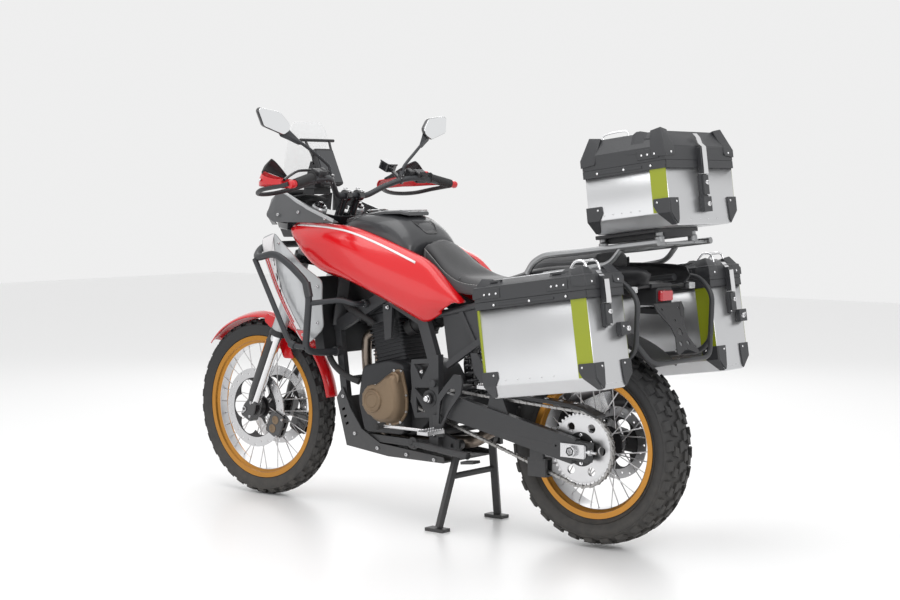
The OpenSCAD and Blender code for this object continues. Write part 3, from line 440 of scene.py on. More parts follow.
steel, chrome = (0.62, 0.62, 0.63), (0.78, 0.78, 0.79)
mats = {
    "frame": finishOf("framePowderCoat", (0.034, 0.035, 0.038), 0.44, 0.1, 1400, 0.25, shade=0.16),
    "bars": finishOf("barPowderCoat", (0.030, 0.032, 0.036), 0.46, 0.1, 1600, 0.35, shade=0.1),
    "engine": finishOf("engineCasting", (0.030, 0.031, 0.034), 0.52, 0.3, 700, 0.6, cells=0.5, dust=0.2),
    "bronze": finishOf("bronzeCasting", (0.200, 0.142, 0.090), 0.42, 0.55, 800, 0.4, cells=0.4, dust=0.1),
    "skid": finishOf("skidSheet", (0.060, 0.062, 0.066), 0.42, 0.4, 500, 0.3, stretch=(0.1, 1, 1),
    dust=0.25),
    "sheet": finishOf("brushedSheet", (0.62, 0.625, 0.635), 0.30, 0.92, 420, 0.22, stretch=(0.03, 1, 1.6),
    shade=0.05, dust=0.02),
    "sheetDark": finishOf("bevelledSheet", (0.30, 0.305, 0.31), 0.36, 0.9, 420, 0.22,
    stretch=(0.03, 1, 1.6), shade=0.06),
    "exhaust": finishOf("heatTintedSteel", (0.26, 0.215, 0.18), 0.32, 0.95, 500, 0.15, stretch=(0.2, 1, 1),
    blotch=16, shade=0.3),
    "muffler": finishOf("mufflerSkin", (0.10, 0.10, 0.105), 0.38, 0.7, 900, 0.2),
    "red": finishOf("redLacquer", (0.60, 0.002, 0.006), 0.22, 0.0, 60, 0.015, coat=0.5, shade=0.03,
    roughSpread=0.04, dust=0.02),
    "redDark": finishOf("redPlastic", (0.55, 0.006, 0.012), 0.34, 0.0, 900, 0.1, coat=0.4, shade=0.05,
    dust=0.06),
    "grey": finishOf("greyPlastic", (0.075, 0.077, 0.081), 0.36, 0.0, 1300, 0.2, coat=0.25, shade=0.06),
    "silver": finishOf("silverLacquer", (0.44, 0.45, 0.46), 0.30, 0.5, 1600, 0.08, coat=0.7, shade=0.04,
    dust=0.03),
    "white": finishOf("whiteStripe", (0.78, 0.76, 0.77), 0.35, 0.0, 600, 0.05, coat=0.6, shade=0.03),
    "black": finishOf("blackPlastic", (0.016, 0.016, 0.018), 0.44, 0.0, 1100, 0.35, cells=0.35, shade=0.12,
    dust=0.12),
    "gloss": finishOf("blackGloss", (0.012, 0.012, 0.014), 0.18, 0.0, 900, 0.04, coat=0.8, shade=0.05),
    "tank": finishOf("tankCover", (0.032, 0.033, 0.036), 0.34, 0.0, 1500, 0.2, coat=0.3, shade=0.08),
    "caseBlack": finishOf("casePlastic", (0.030, 0.031, 0.034), 0.42, 0.0, 1200, 0.4, cells=0.3, shade=0.1),
    "seat": finishOf("seatCover", (0.026, 0.026, 0.028), 0.52, 0.0, 620, 0.55, cells=1.0, shade=0.1,
    sheen=0.15, dust=0.03),
    "seatSide": finishOf("seatSideCover", (0.040, 0.041, 0.044), 0.58, 0.0, 1500, 0.6, cells=0.5, shade=0.1,
    sheen=0.25),
    "thread": finishOf("whiteThread", (0.62, 0.62, 0.60), 0.7, 0.0, 2400, 0.4),
    "rubber": finishOf("tyreRubber", (0.020, 0.020, 0.021), 0.62, 0.0, 480, 0.5, cells=0.3, blotch=22,
    shade=0.2, dust=0.25),
    "grip": finishOf("gripRubber", (0.018, 0.018, 0.019), 0.66, 0.0, 900, 0.5, shade=0.1),
    "gold": finishOf("goldRim", (0.42, 0.165, 0.020), 0.30, 0.75, 900, 0.12, shade=0.06),
    "steel": finishOf("turnedSteel", steel, 0.26, 1.0, 700, 0.18, stretch=(1, 6, 1), shade=0.08, dust=0.1),
    "chrome": finishOf("chromeTube", chrome, 0.10, 1.0, 300, 0.03, shade=0.03, roughSpread=0.06, dust=0.03),
    "disc": finishOf("groundDisc", (0.66, 0.66, 0.67), 0.25, 1.0, 900, 0.2, blotch=30, shade=0.05,
    dust=0.04),
    "frontDisc": finishOf("frontDiscFinish", (0.62, 0.62, 0.63), 0.25, 1.0, 900, 0.2, blotch=30, shade=0.05,
                          zones=((frontAxle, 0, 118, (0.022, 0.022, 0.024), 0.3),)),
    # rear disc: its steel is darker than the front disc's, which is painted shade on the outer ring; the
    # dark middle zone is the carrier's own colour
    "rearDiscShaded": finishOf("rearDiscPaintedShade", (0.40, 0.40, 0.41), 0.28, 1.0, 900, 0.2, blotch=30, shade=0.05,
                         zones=((rearAxle, 0, 92, (0.022, 0.022, 0.024), 0.3),)),
    "sprocket": finishOf("sprocketFinish", steel, 0.28, 1.0, 700, 0.18, stretch=(1, 6, 1), shade=0.08,
    dust=0.1,
                         zones=((rearAxle, 0, 58, (0.022, 0.022, 0.024), 0.3),)),
    "chain": finishOf("oiledChain", (0.36, 0.355, 0.35), 0.34, 0.9, 900, 0.2, shade=0.25, dust=0.3),
    "rack": finishOf("satinRack", (0.34, 0.345, 0.35), 0.34, 0.85, 900, 0.12, shade=0.06),
    "spring": finishOf("springPaint", (0.05, 0.05, 0.055), 0.3, 0.1, 900, 0.1, coat=0.6),
    "lime": finishOf("limeStripe", (0.26, 0.30, 0.004), 0.40, 0.0, 1800, 0.3, cells=0.8, coat=0.1,
    shade=0.06),
    "orange": finishOf("orangePatch", (0.62, 0.20, 0.02), 0.36, 0.1, 900, 0.1, coat=0.4),
    "redLens": finishOf("redLens", (0.42, 0.006, 0.016), 0.12, 0.0, 900, 0.25, cells=1.0, coat=1.0),
    "amberLens": finishOf("amberLens", (0.75, 0.20, 0.01), 0.15, 0.0, 900, 0.25, cells=1.0, coat=1.0),
    "clearLens": glassOf("clearLens", (0.85, 0.86, 0.87), 0.45),
    "screen": glassOf("clearScreen", (0.92, 0.94, 0.95), 0.16),
    "mirror": finishOf("mirrorGlass", (0.86, 0.87, 0.88), 0.05, 1.0, 20, 0.002, shade=0.01,
    roughSpread=0.02, dust=0.0),
    "lampDark": finishOf("lampLens", (0.012, 0.014, 0.018), 0.10, 0.0, 400, 0.02, coat=1.0),
    "display": finishOf("displayGlass", (0.010, 0.012, 0.016), 0.08, 0.0, 400, 0.01, coat=1.0),
    "core": finishOf("radiatorCore", (0.025, 0.026, 0.028), 0.5, 0.5, 900, 0.4),
    "frontWheel": finishOf("frontWheelFinish", (0.50, 0.225, 0.035), 0.28, 0.75, 900, 0.1, shade=0.05,
                           zones=((frontAxle, 46, 251, steel, 1.0),
                           (frontAxle, 0, 46, (0.03, 0.03, 0.033), 0.4))),
    "rearWheel": finishOf("rearWheelFinish", (0.50, 0.225, 0.035), 0.28, 0.75, 900, 0.1, shade=0.05,
                          zones=((rearAxle, 64, 213, steel, 1.0),
                          (rearAxle, 0, 64, (0.03, 0.03, 0.033), 0.4))),
}

cadFinish = {
    "main_frame": "frame", "subframe": "frame", "engine": "engine", "engine_covers": "bronze",
    "radiator": "core",
    "skid_plate": "skid", "crash_bars": "bars", "exhaust": "exhaust", "fuel_tank": "tank",
    "side_panels": "red",
    "front_fairing": "grey", "radiator_shrouds": "silver", "headlight": "lampDark", "windscreen": "screen",
    "dash": "black", "rider_seat": "seat", "pillion_seat": "seat", "tail_fairing": "black",
    "tail_light": "redLens",
    "luggage_rack": "rack", "pannier_rack": "frame", "swingarm": "frame", "rear_axle": "steel",
    "chain": "chain",
    "rear_shock": "spring", "foot_pegs": "frame", "left_pannier": "sheet", "right_pannier": "sheet",
    "top_case": "sheet", "fork": "steel", "front_axle": "steel", "front_fender": "red",
    "front_calipers": "gloss",
    "handlebar": "bars", "hand_guards": "redDark", "mirrors": "black", "front_tyre": "rubber",
    "front_wheel": "frontWheel", "front_discs": "frontDisc", "rear_tyre": "rubber",
    "rear_wheel": "rearWheel",
    "rear_disc": "rearDiscShaded", "sprocket": "sprocket", "centre_stand": "frame", "side_stand": "frame",
    "left_pannier_lid": "caseBlack", "right_pannier_lid": "caseBlack", "top_case_lid": "caseBlack",
}
for node, finish in cadFinish.items():
    nodes[node].data.materials.clear()
    nodes[node].data.materials.append(mats[finish])
print("materials ready", len(mats))

# Geometry Nodes for what repeats
def geometryTree(name, inputs):
    tree = bpy.data.node_groups.new(name, "GeometryNodeTree")
    tree.interface.new_socket("Geometry", in_out="INPUT", socket_type="NodeSocketGeometry")
    for label, kind in inputs:
        tree.interface.new_socket(label, in_out="INPUT", socket_type=kind)
    tree.interface.new_socket("Geometry", in_out="OUTPUT", socket_type="NodeSocketGeometry")
    return tree, tree.nodes.new("NodeGroupInput"), tree.nodes.new("NodeGroupOutput")


def closeTree(tree, gin, gout, geometry):
    real = tree.nodes.new("GeometryNodeRealizeInstances")
    paint = tree.nodes.new("GeometryNodeSetMaterial")
    wire(tree, [(geometry, real.inputs[0]), (real.outputs[0], paint.inputs["Geometry"]),
                (gin.outputs["Material"], paint.inputs["Material"]), (paint.outputs[0], gout.inputs[0])])


def studTree():
    # Puts a stud on each point, along the point's own direction and at its own size
    tree, gin, gout = geometryTree("studsOnPoints", [("Stud", "NodeSocketObject"),
        ("Material", "NodeSocketMaterial")])
    stud = tree.nodes.new("GeometryNodeObjectInfo")
    aim = tree.nodes.new("GeometryNodeInputNamedAttribute")
    aim.data_type = "FLOAT_VECTOR"
    aim.inputs["Name"].default_value = "aim"
    size = tree.nodes.new("GeometryNodeInputNamedAttribute")
    size.data_type = "FLOAT"
    size.inputs["Name"].default_value = "size"
    align = tree.nodes.new("FunctionNodeAlignRotationToVector")
    align.axis = "Z"
    put = tree.nodes.new("GeometryNodeInstanceOnPoints")
    wire(tree, [(gin.outputs["Stud"], stud.inputs["Object"]), (aim.outputs[0], align.inputs["Vector"]),
                (gin.outputs["Geometry"], put.inputs["Points"]),
                (stud.outputs["Geometry"], put.inputs["Instance"]),
                (align.outputs[0], put.inputs["Rotation"]), (size.outputs[0], put.inputs["Scale"])])
    closeTree(tree, gin, gout, put.outputs[0])
    return tree


def ringTree():
    # Copies one pitch of a shape around an axle: Count copies about Centre
    tree, gin, gout = geometryTree("ringOfCopies", [("Count", "NodeSocketInt"),
        ("Centre", "NodeSocketVector"),
                                                    ("Material", "NodeSocketMaterial")])
    line = tree.nodes.new("GeometryNodeMeshLine")
    line.inputs["Offset"].default_value = (0, 0, 0)
    index = tree.nodes.new("GeometryNodeInputIndex")
    angle = tree.nodes.new("ShaderNodeCombineXYZ")
    put = tree.nodes.new("GeometryNodeInstanceOnPoints")
    step = mathNode(tree, "DIVIDE", 2 * math.pi, gin.outputs["Count"])
    turn = mathNode(tree, "MULTIPLY", index.outputs[0], step)
    wire(tree, [(gin.outputs["Count"], line.inputs["Count"]),
        (gin.outputs["Centre"], line.inputs["Start Location"]),
                (turn, angle.inputs["Y"]), (line.outputs[0], put.inputs["Points"]),
                (gin.outputs["Geometry"], put.inputs["Instance"]),
                (angle.outputs[0], put.inputs["Rotation"])])
    closeTree(tree, gin, gout, put.outputs[0])
    return tree


def pathTree():
    # Lays copies of a link along a line of edges, Spacing apart, each along the line
    tree, gin, gout = geometryTree("linksOnPath", [("Link", "NodeSocketObject"),
        ("Spacing", "NodeSocketFloat"),
                                                   ("Up", "NodeSocketVector"),
                                                   ("Material", "NodeSocketMaterial")])
    link = tree.nodes.new("GeometryNodeObjectInfo")
    curve = tree.nodes.new("GeometryNodeMeshToCurve")
    even = tree.nodes.new("GeometryNodeResampleCurve")
    even.mode = "LENGTH"
    along = tree.nodes.new("GeometryNodeInputTangent")
    first = tree.nodes.new("FunctionNodeAlignRotationToVector")
    first.axis = "X"
    second = tree.nodes.new("FunctionNodeAlignRotationToVector")
    second.axis = "Y"
    second.pivot_axis = "X"
    put = tree.nodes.new("GeometryNodeInstanceOnPoints")
    wire(tree, [(gin.outputs["Link"], link.inputs["Object"]),
        (gin.outputs["Geometry"], curve.inputs["Mesh"]),
                (curve.outputs[0], even.inputs["Curve"]), (gin.outputs["Spacing"], even.inputs["Length"]),
                (along.outputs[0], first.inputs["Vector"]), (first.outputs[0], second.inputs["Rotation"]),
                (gin.outputs["Up"], second.inputs["Vector"]), (even.outputs[0], put.inputs["Points"]),
                (link.outputs["Geometry"], put.inputs["Instance"]),
                (second.outputs[0], put.inputs["Rotation"])])
    closeTree(tree, gin, gout, put.outputs[0])
    return tree


trees = {"studs": studTree(), "ring": ringTree(), "path": pathTree()}


def grown(name, source, tree, values, material, body, slot=None, stands=(), smooth=35):
    # Runs a Geometry Nodes tree on a mesh and keeps the result as a plain mesh
    bpy.context.scene.collection.objects.link(source)
    m = source.modifiers.new("grow", "NODES")
    m.node_group = trees[tree]
    for item in trees[tree].interface.items_tree:
        if item.in_out == "INPUT" and item.name in {**values, "Material": material}:
            m[item.identifier] = {**values, "Material": material}[item.name]
    source.update_tag()
    evaluated = source.evaluated_get(bpy.context.evaluated_depsgraph_get())
    mesh = bpy.data.meshes.new_from_object(evaluated)
    mesh.name = name
    source.modifiers.remove(m)
    bpy.data.objects.remove(source)
    mesh.shade_smooth()
    mesh.set_sharp_from_angle(angle=math.radians(smooth))
    o = bpy.data.objects.new(name, mesh)
    bpy.context.scene.collection.objects.link(o)
    return settle(o, body, material, stands)


def loose(name, bm):
    # Object that only other pieces copy: it isn't in the scene
    bmesh.ops.recalc_face_normals(bm, faces=bm.faces)
    mesh = bpy.data.meshes.new(name)
    bm.to_mesh(mesh)
    bm.free()
    return bpy.data.objects.new(name, mesh)


def studObject(name, rings, sides):
    bm = bmesh.new()
    addLathe(bm, (0, 0, 0), (0, 0, 1), rings, sides)
    return loose(name, bm)


# heads of radius 1 mm, scaled to each place's own size
studs = {
    "rivet": studObject("rivetHead", [(1, 0), (1, 0.15), (0.8, 0.55), (0.45, 0.78), (0.01, 0.85)], 12),
    "screw": studObject("screwHead", [(1, 0), (1, 0.75), (0.9, 0.9), (0.5, 0.9), (0.42, 0.35),
    (0.01, 0.35)], 18),
    "nut": studObject("flangeNut", [(1, 0), (1, 0.2), (0.72, 0.26), (0.72, 0.8), (0.62, 0.9), (0.01, 0.9)],
    6),
    "ring": studObject("blackRing", [(1, 0), (1, 0.3), (0.86, 0.4), (0.7, 0.4), (0.7, 0.1), (0.01, 0.1)],
    24),
}
studSpots = {}


def stud(kind, material, body, place, aim, radius):
    studSpots.setdefault((kind, material, body), []).append((Vector(place), Vector(aim), radius))


def bothSides(kind, material, body, place, aim, radius):
    stud(kind, material, body, place, aim, radius)
    stud(kind, material, body, (place[0], -place[1], place[2]), (aim[0], -aim[1], aim[2]), radius)


def placeStuds():
    for (kind, material, body), spots in studSpots.items():
        mesh = bpy.data.meshes.new("spots")
        mesh.from_pydata([p / 1000 for p, _, _ in spots], [], [])
        mesh.attributes.new("aim", "FLOAT_VECTOR", "POINT").data.foreach_set("vector",
            [c for _, a, _ in spots for c in a])
        mesh.attributes.new("size", "FLOAT", "POINT").data.foreach_set("value", [r for _, _, r in spots])
        source = bpy.data.objects.new("spots", mesh)
        grown(f"{kind}_{material}_{body}", source, "studs", {"Stud": studs[kind]}, mats[material], body)
    print("studs", sum(len(s) for s in studSpots.values()))


# Cases
cases = {
    "pannier": {"foot": (-647, 462, 530), "tilt": 8, "long": 433, "wide": 196, "high": 314, "lid": 66,
                "stripe": (-432, -372), "loops": (-62, -330), "latch": -85, "handle": True},
    "top": {"foot": (-866, 200, 1058), "tilt": 7, "long": 310, "wide": 400, "high": 207, "lid": 96,
            "stripe": (-309, -249), "loops": (-250,), "latch": -200, "handle": False},
    "bevel": 42, "wall": 2.5, "seam": 0.5,
}


def caseWorks(kind, mirrored, body, lid):
    # Everything on one case, whose own frame runs back along -x,
    # in from its outer wall along -y, and up along z
    c = cases[kind]
    long, wide, high, lidHigh = c["long"], c["wide"], c["high"], c["lid"]
    bevel, rim = cases["bevel"], high + cases["seam"]
    turn = turnY(c["tilt"])
    flip = -1 if mirrored else 1

    def at(x, y, z):
        p = Vector(c["foot"]) + turn @ Vector((x, y, z))
        return (p.x, p.y * flip, p.z)

    def aim(x, y, z):
        v = turn @ Vector((x, y, z))
        return (v.x, v.y * flip, v.z)

    def block(bm, low, high):
        corners = [at(x, y, z) for x in (low[0], high[0]) for y in (low[1], high[1]) for z in (low[2],
            high[2])]
        hull(bm, corners)

    def hull(bm, points):
        verts = [bm.verts.new(Vector(p) / 1000) for p in points]
        made = bmesh.ops.convex_hull(bm, input=verts)
        bmesh.ops.delete(bm, geom=[g for g in made["geom_interior"] if isinstance(g, bmesh.types.BMVert)],
            context="VERTS")
        bmesh.ops.dissolve_limit(bm, angle_limit=0.02, verts=[v for v in verts if v.is_valid],
                                 edges=[e for e in bm.edges])

    prefix = body

    # sheet body: two bevels, open on top
    section = [(0, high), (0, bevel), (-bevel, 0), (bevel - wide, 0), (-wide, bevel), (-wide, high)]
    bm = bmesh.new()
    rows = [[bm.verts.new(Vector(at(x, y, z)) / 1000) for y, z in section] for x in (0, -long)]
    for i in range(len(section) - 1):
        bm.faces.new((rows[0][i], rows[0][i + 1], rows[1][i + 1], rows[1][i]))
    bm.faces.new(rows[0][::-1])
    bm.faces.new(rows[1])
    for face in bm.faces:
        face.normal_update()
    centre = Vector(at(-long / 2, -wide / 2, high / 2)) / 1000
    for face in bm.faces:
        if face.normal.dot(face.calc_center_median() - centre) < 0:
            face.normal_flip()
    mesh = bpy.data.meshes.new(prefix + "_sheet")
    bm.to_mesh(mesh)
    bm.free()
    mesh.shade_smooth()
    mesh.set_sharp_from_angle(angle=math.radians(20))
    o = bpy.data.objects.new(prefix + "_sheet", mesh)
    bpy.context.scene.collection.objects.link(o)
    folds = o.modifiers.new("folds", "BEVEL")
    folds.width, folds.segments = 0.003, 3
    thick = o.modifiers.new("wall", "SOLIDIFY")
    thick.thickness, thick.offset = cases["wall"] / 1000, -1
    settle(o, "chassis", mats["sheet"], (body,))

    # stripes stand a little proud of the sheet
    bm = bmesh.new()
    x0, x1 = c["stripe"]
    for y in (0.5, -wide - 0.5):
        block(bm, (x0, min(y, y + 0.5), bevel + 2), (x1, max(y, y + 0.5), high - 24))
    if kind == "pannier":
        block(bm, (-9, 0, bevel + 2), (-1, 1, high - 24))
        block(bm, (0.2, -8, bevel + 2), (1, 0.8, high - 24))
    piece(prefix + "_stripe", bm, mats["lime"], "chassis")

    # black rim on the body, hinge knuckles and locks
    bm = bmesh.new()
    for y in (0, -wide - 4):
        block(bm, (-long - 4, y, high - 25), (4, y + 4, high - 0.5))
    for x in (0, -long - 4):
        block(bm, (x, -wide - 4, high - 25), (x + 4, 4, high - 0.5))
    for y in (0, -wide - 6):
        block(bm, (-long * 0.72, y, high - 17), (-long * 0.2, y + 6, high - 9))
    for share in (0.2, 0.8):
        y = -wide * share
        addTube(bm, [at(11, y - 8, high + 0.25), at(11, y + 8, high + 0.25)], 5, 16)
        addTube(bm, [at(11, y - 19, high + 0.25), at(11, y + 19, high + 0.25)], 2.4, 12)
        block(bm, (-0.5, y - 8, high - 10), (10, y + 8, high - 3))
    lock = c["latch"]
    lockSide = -54 if mirrored else 8 - wide
    block(bm, (-long - 13, lock - 17, high - 118), (-long - 1, lock + 17, high - 46))
    block(bm, (-long - 20, lock - 15, high - 112), (-long - 12, lock + 15, high - 50))
    if kind == "pannier":
        block(bm, (-long - 20, lockSide, 162), (-long - 1, lockSide + 46, 204))
    else:
        block(bm, (-long - 20, -wide / 2 - 23, 40), (-long - 1, -wide / 2 + 23, 88))
    piece(prefix + "_rim", bm, mats["caseBlack"], "chassis", bevel=1.2)

    # corner brackets that run to a tip under the bevel
    bm = bmesh.new()
    for xEnd, xIn in ((0, -1), (-long, 1)):
        for side in (0, 1):
            def out(x, z, proud):
                drop = max(0, bevel - z)
                y = -drop + proud * (0.72 if drop else 1)
                return at(x, y if side == 0 else -wide - y, z - (proud * 0.72 if drop else 0))
            # the upper half lies on the side and the lower half on the bevel
            for outline in ([(-4, 88), (56, 88), (58, 66), (44, 42), (-4, 42)],
                    [(-4, 42), (44, 42), (18, 6), (0, 6)]):
                addLoft(bm, [[out(xEnd + xIn * x, z, proud) for x, z in outline] for proud in (0, 5)])
            for face in (0, 1):
                across = [(0, 88), (50, 88), (50, 62), (46, 20), (40, 6), (36, 6), (0, 42)]
                if face == 0:
                    rings = [[at(xEnd - xIn * p, -y if side == 0 else -wide + y, z) for y, z in across]
                        for p in (0, 5)]
                    addLoft(bm, rings)
            rivetX = xEnd + xIn * 42
            stud("rivet", "steel", "chassis", at(rivetX, 5 if side == 0 else -wide - 5, 76),
                aim(0, 1 if side == 0 else -1, 0), 4.2)
            stud("rivet", "steel", "chassis", at(xEnd - xIn * 5, -36 if side == 0 else -wide + 36, 76),
                aim(-xIn, 0, 0), 4.2)
    piece(prefix + "_brackets", bm, mats["caseBlack"], "chassis", bevel=1.5)

    # rivets along the foot, screws in the rim, discs in the locks
    for y, side in ((0, 1), (-wide, -1)):
        for k in range(5):
            x = -long * (0.2 + 0.11 * k)
            stud("rivet", "steel", "chassis", at(x, y + side * 0.2, bevel + 16), aim(0, side, 0), 2.6)
        for x in (-long * 0.17, -long * 0.5, -long * 0.83):
            stud("rivet", "chrome", "chassis", at(x, y + side * 5.5, high - 13), aim(0, side, 0), 4.6)
    for k in range(4):
        stud("rivet", "steel", "chassis", at(-long, -wide * (0.3 + 0.13 * k), 18), aim(-1, 0, 0), 2.4)
    stud("screw", "chrome", "chassis", at(-long - 20, lock, high - 74), aim(-1, 0, 0), 8)
    stud("rivet", "chrome", "chassis", at(-long - 13, lock - 12, high - 112), aim(-1, 0, 0), 3.6)
    if kind == "pannier":
        stud("screw", "chrome", "chassis", at(-long - 20, lockSide + 14, 182), aim(-1, 0, 0), 9)
        stud("rivet", "chrome", "chassis", at(-long - 20, lockSide + 34, 190), aim(-1, 0, 0), 3.2)
    else:
        stud("screw", "chrome", "chassis", at(-long - 20, -wide / 2, 64), aim(-1, 0, 0), 8)

    # lid: the black shell, its sheet top, gussets, loops and latch
    softened(lid, mats["caseBlack"], 2.0)
    inset = 30
    crown = min(76, lidHigh - 2)
    bm = bmesh.new()
    top = rim + lidHigh
    block(bm, (-long + inset + 6, -wide + inset + 6, top - 1), (-inset - 6, -inset - 6, top + 1.5))
    for k in range(2):
        y = -wide * (0.36 + 0.28 * k)
        block(bm, (-long + inset + 40, y - 9, top + 1), (-inset - 40, y + 9, top + 3.5))
    piece(prefix + "_lid_sheet", bm, mats["sheet"], lid, bevel=1.4)
    bm = bmesh.new()
    for xEnd, xIn in ((4, -1), (-long - 4, 1)):
        for yEnd, yIn in ((4, -1), (-wide - 4, 1)):
            def corner(x, y, z):
                return at(xEnd + xIn * x, yEnd + yIn * y, rim + z)
            hull(bm, [corner(-4, -4, 10), corner(-4, -4, 34), corner(52, -4, 16), corner(-4, 52, 16),
                corner(52, -3, 40),
                      corner(-3, 52, 40), corner(22, 22, lidHigh + 10), corner(64, 26, lidHigh + 4),
                      corner(26, 64, lidHigh + 4),
                      corner(56, 56, lidHigh - 4)])
    for y, side in ((0, 1), (-wide, -1)):
        for x in c["loops"]:
            # raised loop for a strap, with its slot left open
            for dx, w in ((-36, 12), (24, 12)):
                hull(bm, [at(x + dx, y + side * 5, rim + 38), at(x + dx + w, y + side * 5, rim + 38),
                          at(x + dx + w * 0.2, y - side * 16, rim + crown),
                          at(x + dx + w, y - side * 16, rim + crown),
                          at(x + dx, y - side * 6, rim + 38), at(x + dx + w, y - side * 6, rim + 38),
                          at(x + dx + w * 0.2, y - side * 26, rim + crown),
                          at(x + dx + w, y - side * 26, rim + crown)])
            hull(bm, [at(x + dx, y - side * d, rim + z) for dx in (-34, 36) for d,
                z in ((14, crown + 2), (26, crown + 2), (12, crown - 6), (24, crown - 6))])
            block(bm, (x - 40, min(y, y + side * 6.5), rim + 8), (x + 40, max(y, y + side * 6.5), rim + 40))
            for k in (-26, 0, 22):
                stud("rivet", "chrome", lid, at(x + k, y + side * 6.5, rim + 22), aim(0, side, 0), 4)
        # tent-shaped stiffener between the loops
        mid = -long * 0.66 if kind == "top" else -long + 78
        hull(bm, [at(mid + dx, y + side * 5, rim + 30) for dx in (-40, 34)]
            + [at(mid + dx, y - side * 22, rim + lidHigh + 7) for dx in (-10, 6)]
             + [at(mid + dx, y - side * 34, rim + lidHigh - 2) for dx in (-40, 34)])
    piece(prefix + "_gussets", bm, mats["caseBlack"], lid, bevel=1.5)
    for xEnd, xIn in ((8, -1), (-long - 8, 1)):
        for yEnd, yIn in ((4, -1), (-wide - 4, 1)):
            stud("rivet", "chrome", lid, at(xEnd, yEnd + yIn * 30, rim + 24), aim(-xIn, 0, 0), 4)

    # rubber seam between the two rims
    bm = bmesh.new()
    for y in (-1, -wide - 2):
        block(bm, (-long - 2, y, high - 1), (2, y + 3, rim + 1))
    block(bm, (-long - 2, -wide - 2, high - 1), (-long + 1, 2, rim + 1))
    piece(prefix + "_seal", bm, mats["grip"], "chassis")

    # strap of the latch, and the wire handle
    bm = bmesh.new()
    strap = [(-long + 8, lidHigh - 10), (-long - 3, lidHigh - 24), (-long - 9, min(52, lidHigh - 32)),
        (-long - 21.5, min(40, lidHigh - 40)),
             (-long - 22, -48)]
    for (xa, za), (xb, zb) in zip(strap, strap[1:]):
        hull(bm, [at(x, y, rim + z + dz) for x, z in ((xa, za), (xb, zb)) for y in (lock - 13, lock + 13)
            for dz in (0,)]
             + [at(x - 2, y, rim + z + 1) for x, z in ((xa, za), (xb, zb)) for y in (lock - 13, lock + 13)])
    if c["handle"]:
        for y in (lock - 34, lock + 34):
            addBent(bm, [at(-long + 22, y, rim + lidHigh - 8), at(-long + 30, y, rim + lidHigh + 20),
                         at(-long + 62, y, rim + lidHigh + 26), at(-long + 92, y, rim + lidHigh - 2)], 4,
                         10)
        addTube(bm, [at(-long + 34, lock - 34, rim + lidHigh + 24),
            at(-long + 34, lock + 34, rim + lidHigh + 24)], 4, 10)
        addTube(bm, [at(-long + 60, lock - 34, rim + lidHigh + 26),
            at(-long + 60, lock + 34, rim + lidHigh + 26)], 4, 10)
    else:
        for side in (0, 1):
            y = -34 if side == 0 else -wide + 34
            addBent(bm, [at(-62, y, top - 6), at(-70, y, top + 14), at(-150, y, top + 16),
                at(-162, y, top - 6)], 3.5, 10)
    piece(prefix + "_wire", bm, mats["chrome"], lid, smooth=50)


caseWorks("pannier", False, "left_pannier", "left_pannier_lid")
caseWorks("pannier", True, "right_pannier", "right_pannier_lid")
caseWorks("top", False, "top_case", "top_case_lid")
print("cases ready")

# Bodywork
# red side panel from front to rear: top edge, shoulder, belly, crease and lower edge
sidePanel = {
    "top": [(505, 158, 1079), (400, 172, 1078), (300, 178, 1074), (200, 178, 1062), (80, 172, 1028),
    (-40, 166, 985),
            (-130, 160, 947), (-210, 158, 880), (-286, 158, 812)],
    "shoulder": [(512, 176, 1062), (400, 206, 1052), (300, 220, 1040), (200, 224, 1018), (80, 216, 975),
    (-40, 204, 925),
                 (-130, 192, 880), (-200, 182, 845), (-262, 168, 812)],
    "belly": [(505, 186, 1045), (400, 226, 1020), (300, 238, 1000), (200, 240, 970), (80, 232, 925),
    (-40, 216, 870),
              (-130, 200, 826), (-190, 186, 806), (-235, 170, 795)],
    "crease": [(486, 184, 1014), (416, 216, 972), (330, 228, 926), (220, 234, 902), (90, 224, 856),
    (-34, 206, 806),
               (-104, 192, 778), (-150, 180, 770), (-212, 166, 782)],
    "lower": [(452, 165, 986), (400, 182, 940), (330, 186, 900), (210, 186, 872), (80, 180, 824),
    (-40, 170, 772),
              (-106, 164, 744), (-150, 160, 742), (-206, 158, 772)],
    "stripe": 9, "stripeProud": 1.2,
}
# the turned-in edge narrows ahead, clear of the turning fork clamps
inner = [(x, y - min(34, max(6, (470 - x) / 5)), z + 3) for x, y, z in sidePanel["top"]]
bm = bmesh.new()
skin = addSkin(bm, [inner] + [sidePanel[k] for k in ("top", "shoulder", "belly", "crease", "lower")], 5, 4)
addMirror(bm)
piece("side_panel_skin", bm, mats["red"], wall=3, smooth=60, stands=("side_panels",))

bm = bmesh.new()
for side in (1, -1):
    rings = []
    for p, q in zip(skin[5][1:29], skin[6][1:29]):
        down = (q - p).normalized() * sidePanel["stripe"]
        out = Vector((0, sidePanel["stripeProud"], 0.6))
        a, b = p + out, p + down + out
        rings.append([(a.x, a.y * side, a.z), (b.x, b.y * side, b.z)])
    addLoft(bm, rings, closedRing=False)
piece("side_panel_stripe", bm, mats["white"], wall=0.8, smooth=60)

# tank cover with its raised cap, and the cover that runs down to the seat
tankSections = [  # x, top, half width of the top, shoulder, half width, lower edge
    (350, 1052, 60, 1040, 92, 1010), (310, 1086, 84, 1070, 128, 1006), (240, 1116, 98, 1092, 148, 1000),
    (150, 1121, 104, 1092, 154, 985), (60, 1108, 102, 1074, 152, 968), (0, 1072, 96, 1040, 148, 950),
    (-42, 1026, 84, 1000, 134, 936),
]


def tankRing(x, top, flat, shoulder, half, low):
    left = [(0, top + 3), (flat * 0.6, top + 1), (flat, top - 8), (half - 10, shoulder),
        (half, (shoulder + low) / 2), (half - 6, low)]
    ring = left + [(-y, z) for y, z in left[:0:-1]]
    return [(x, y, z) for y, z in ring]


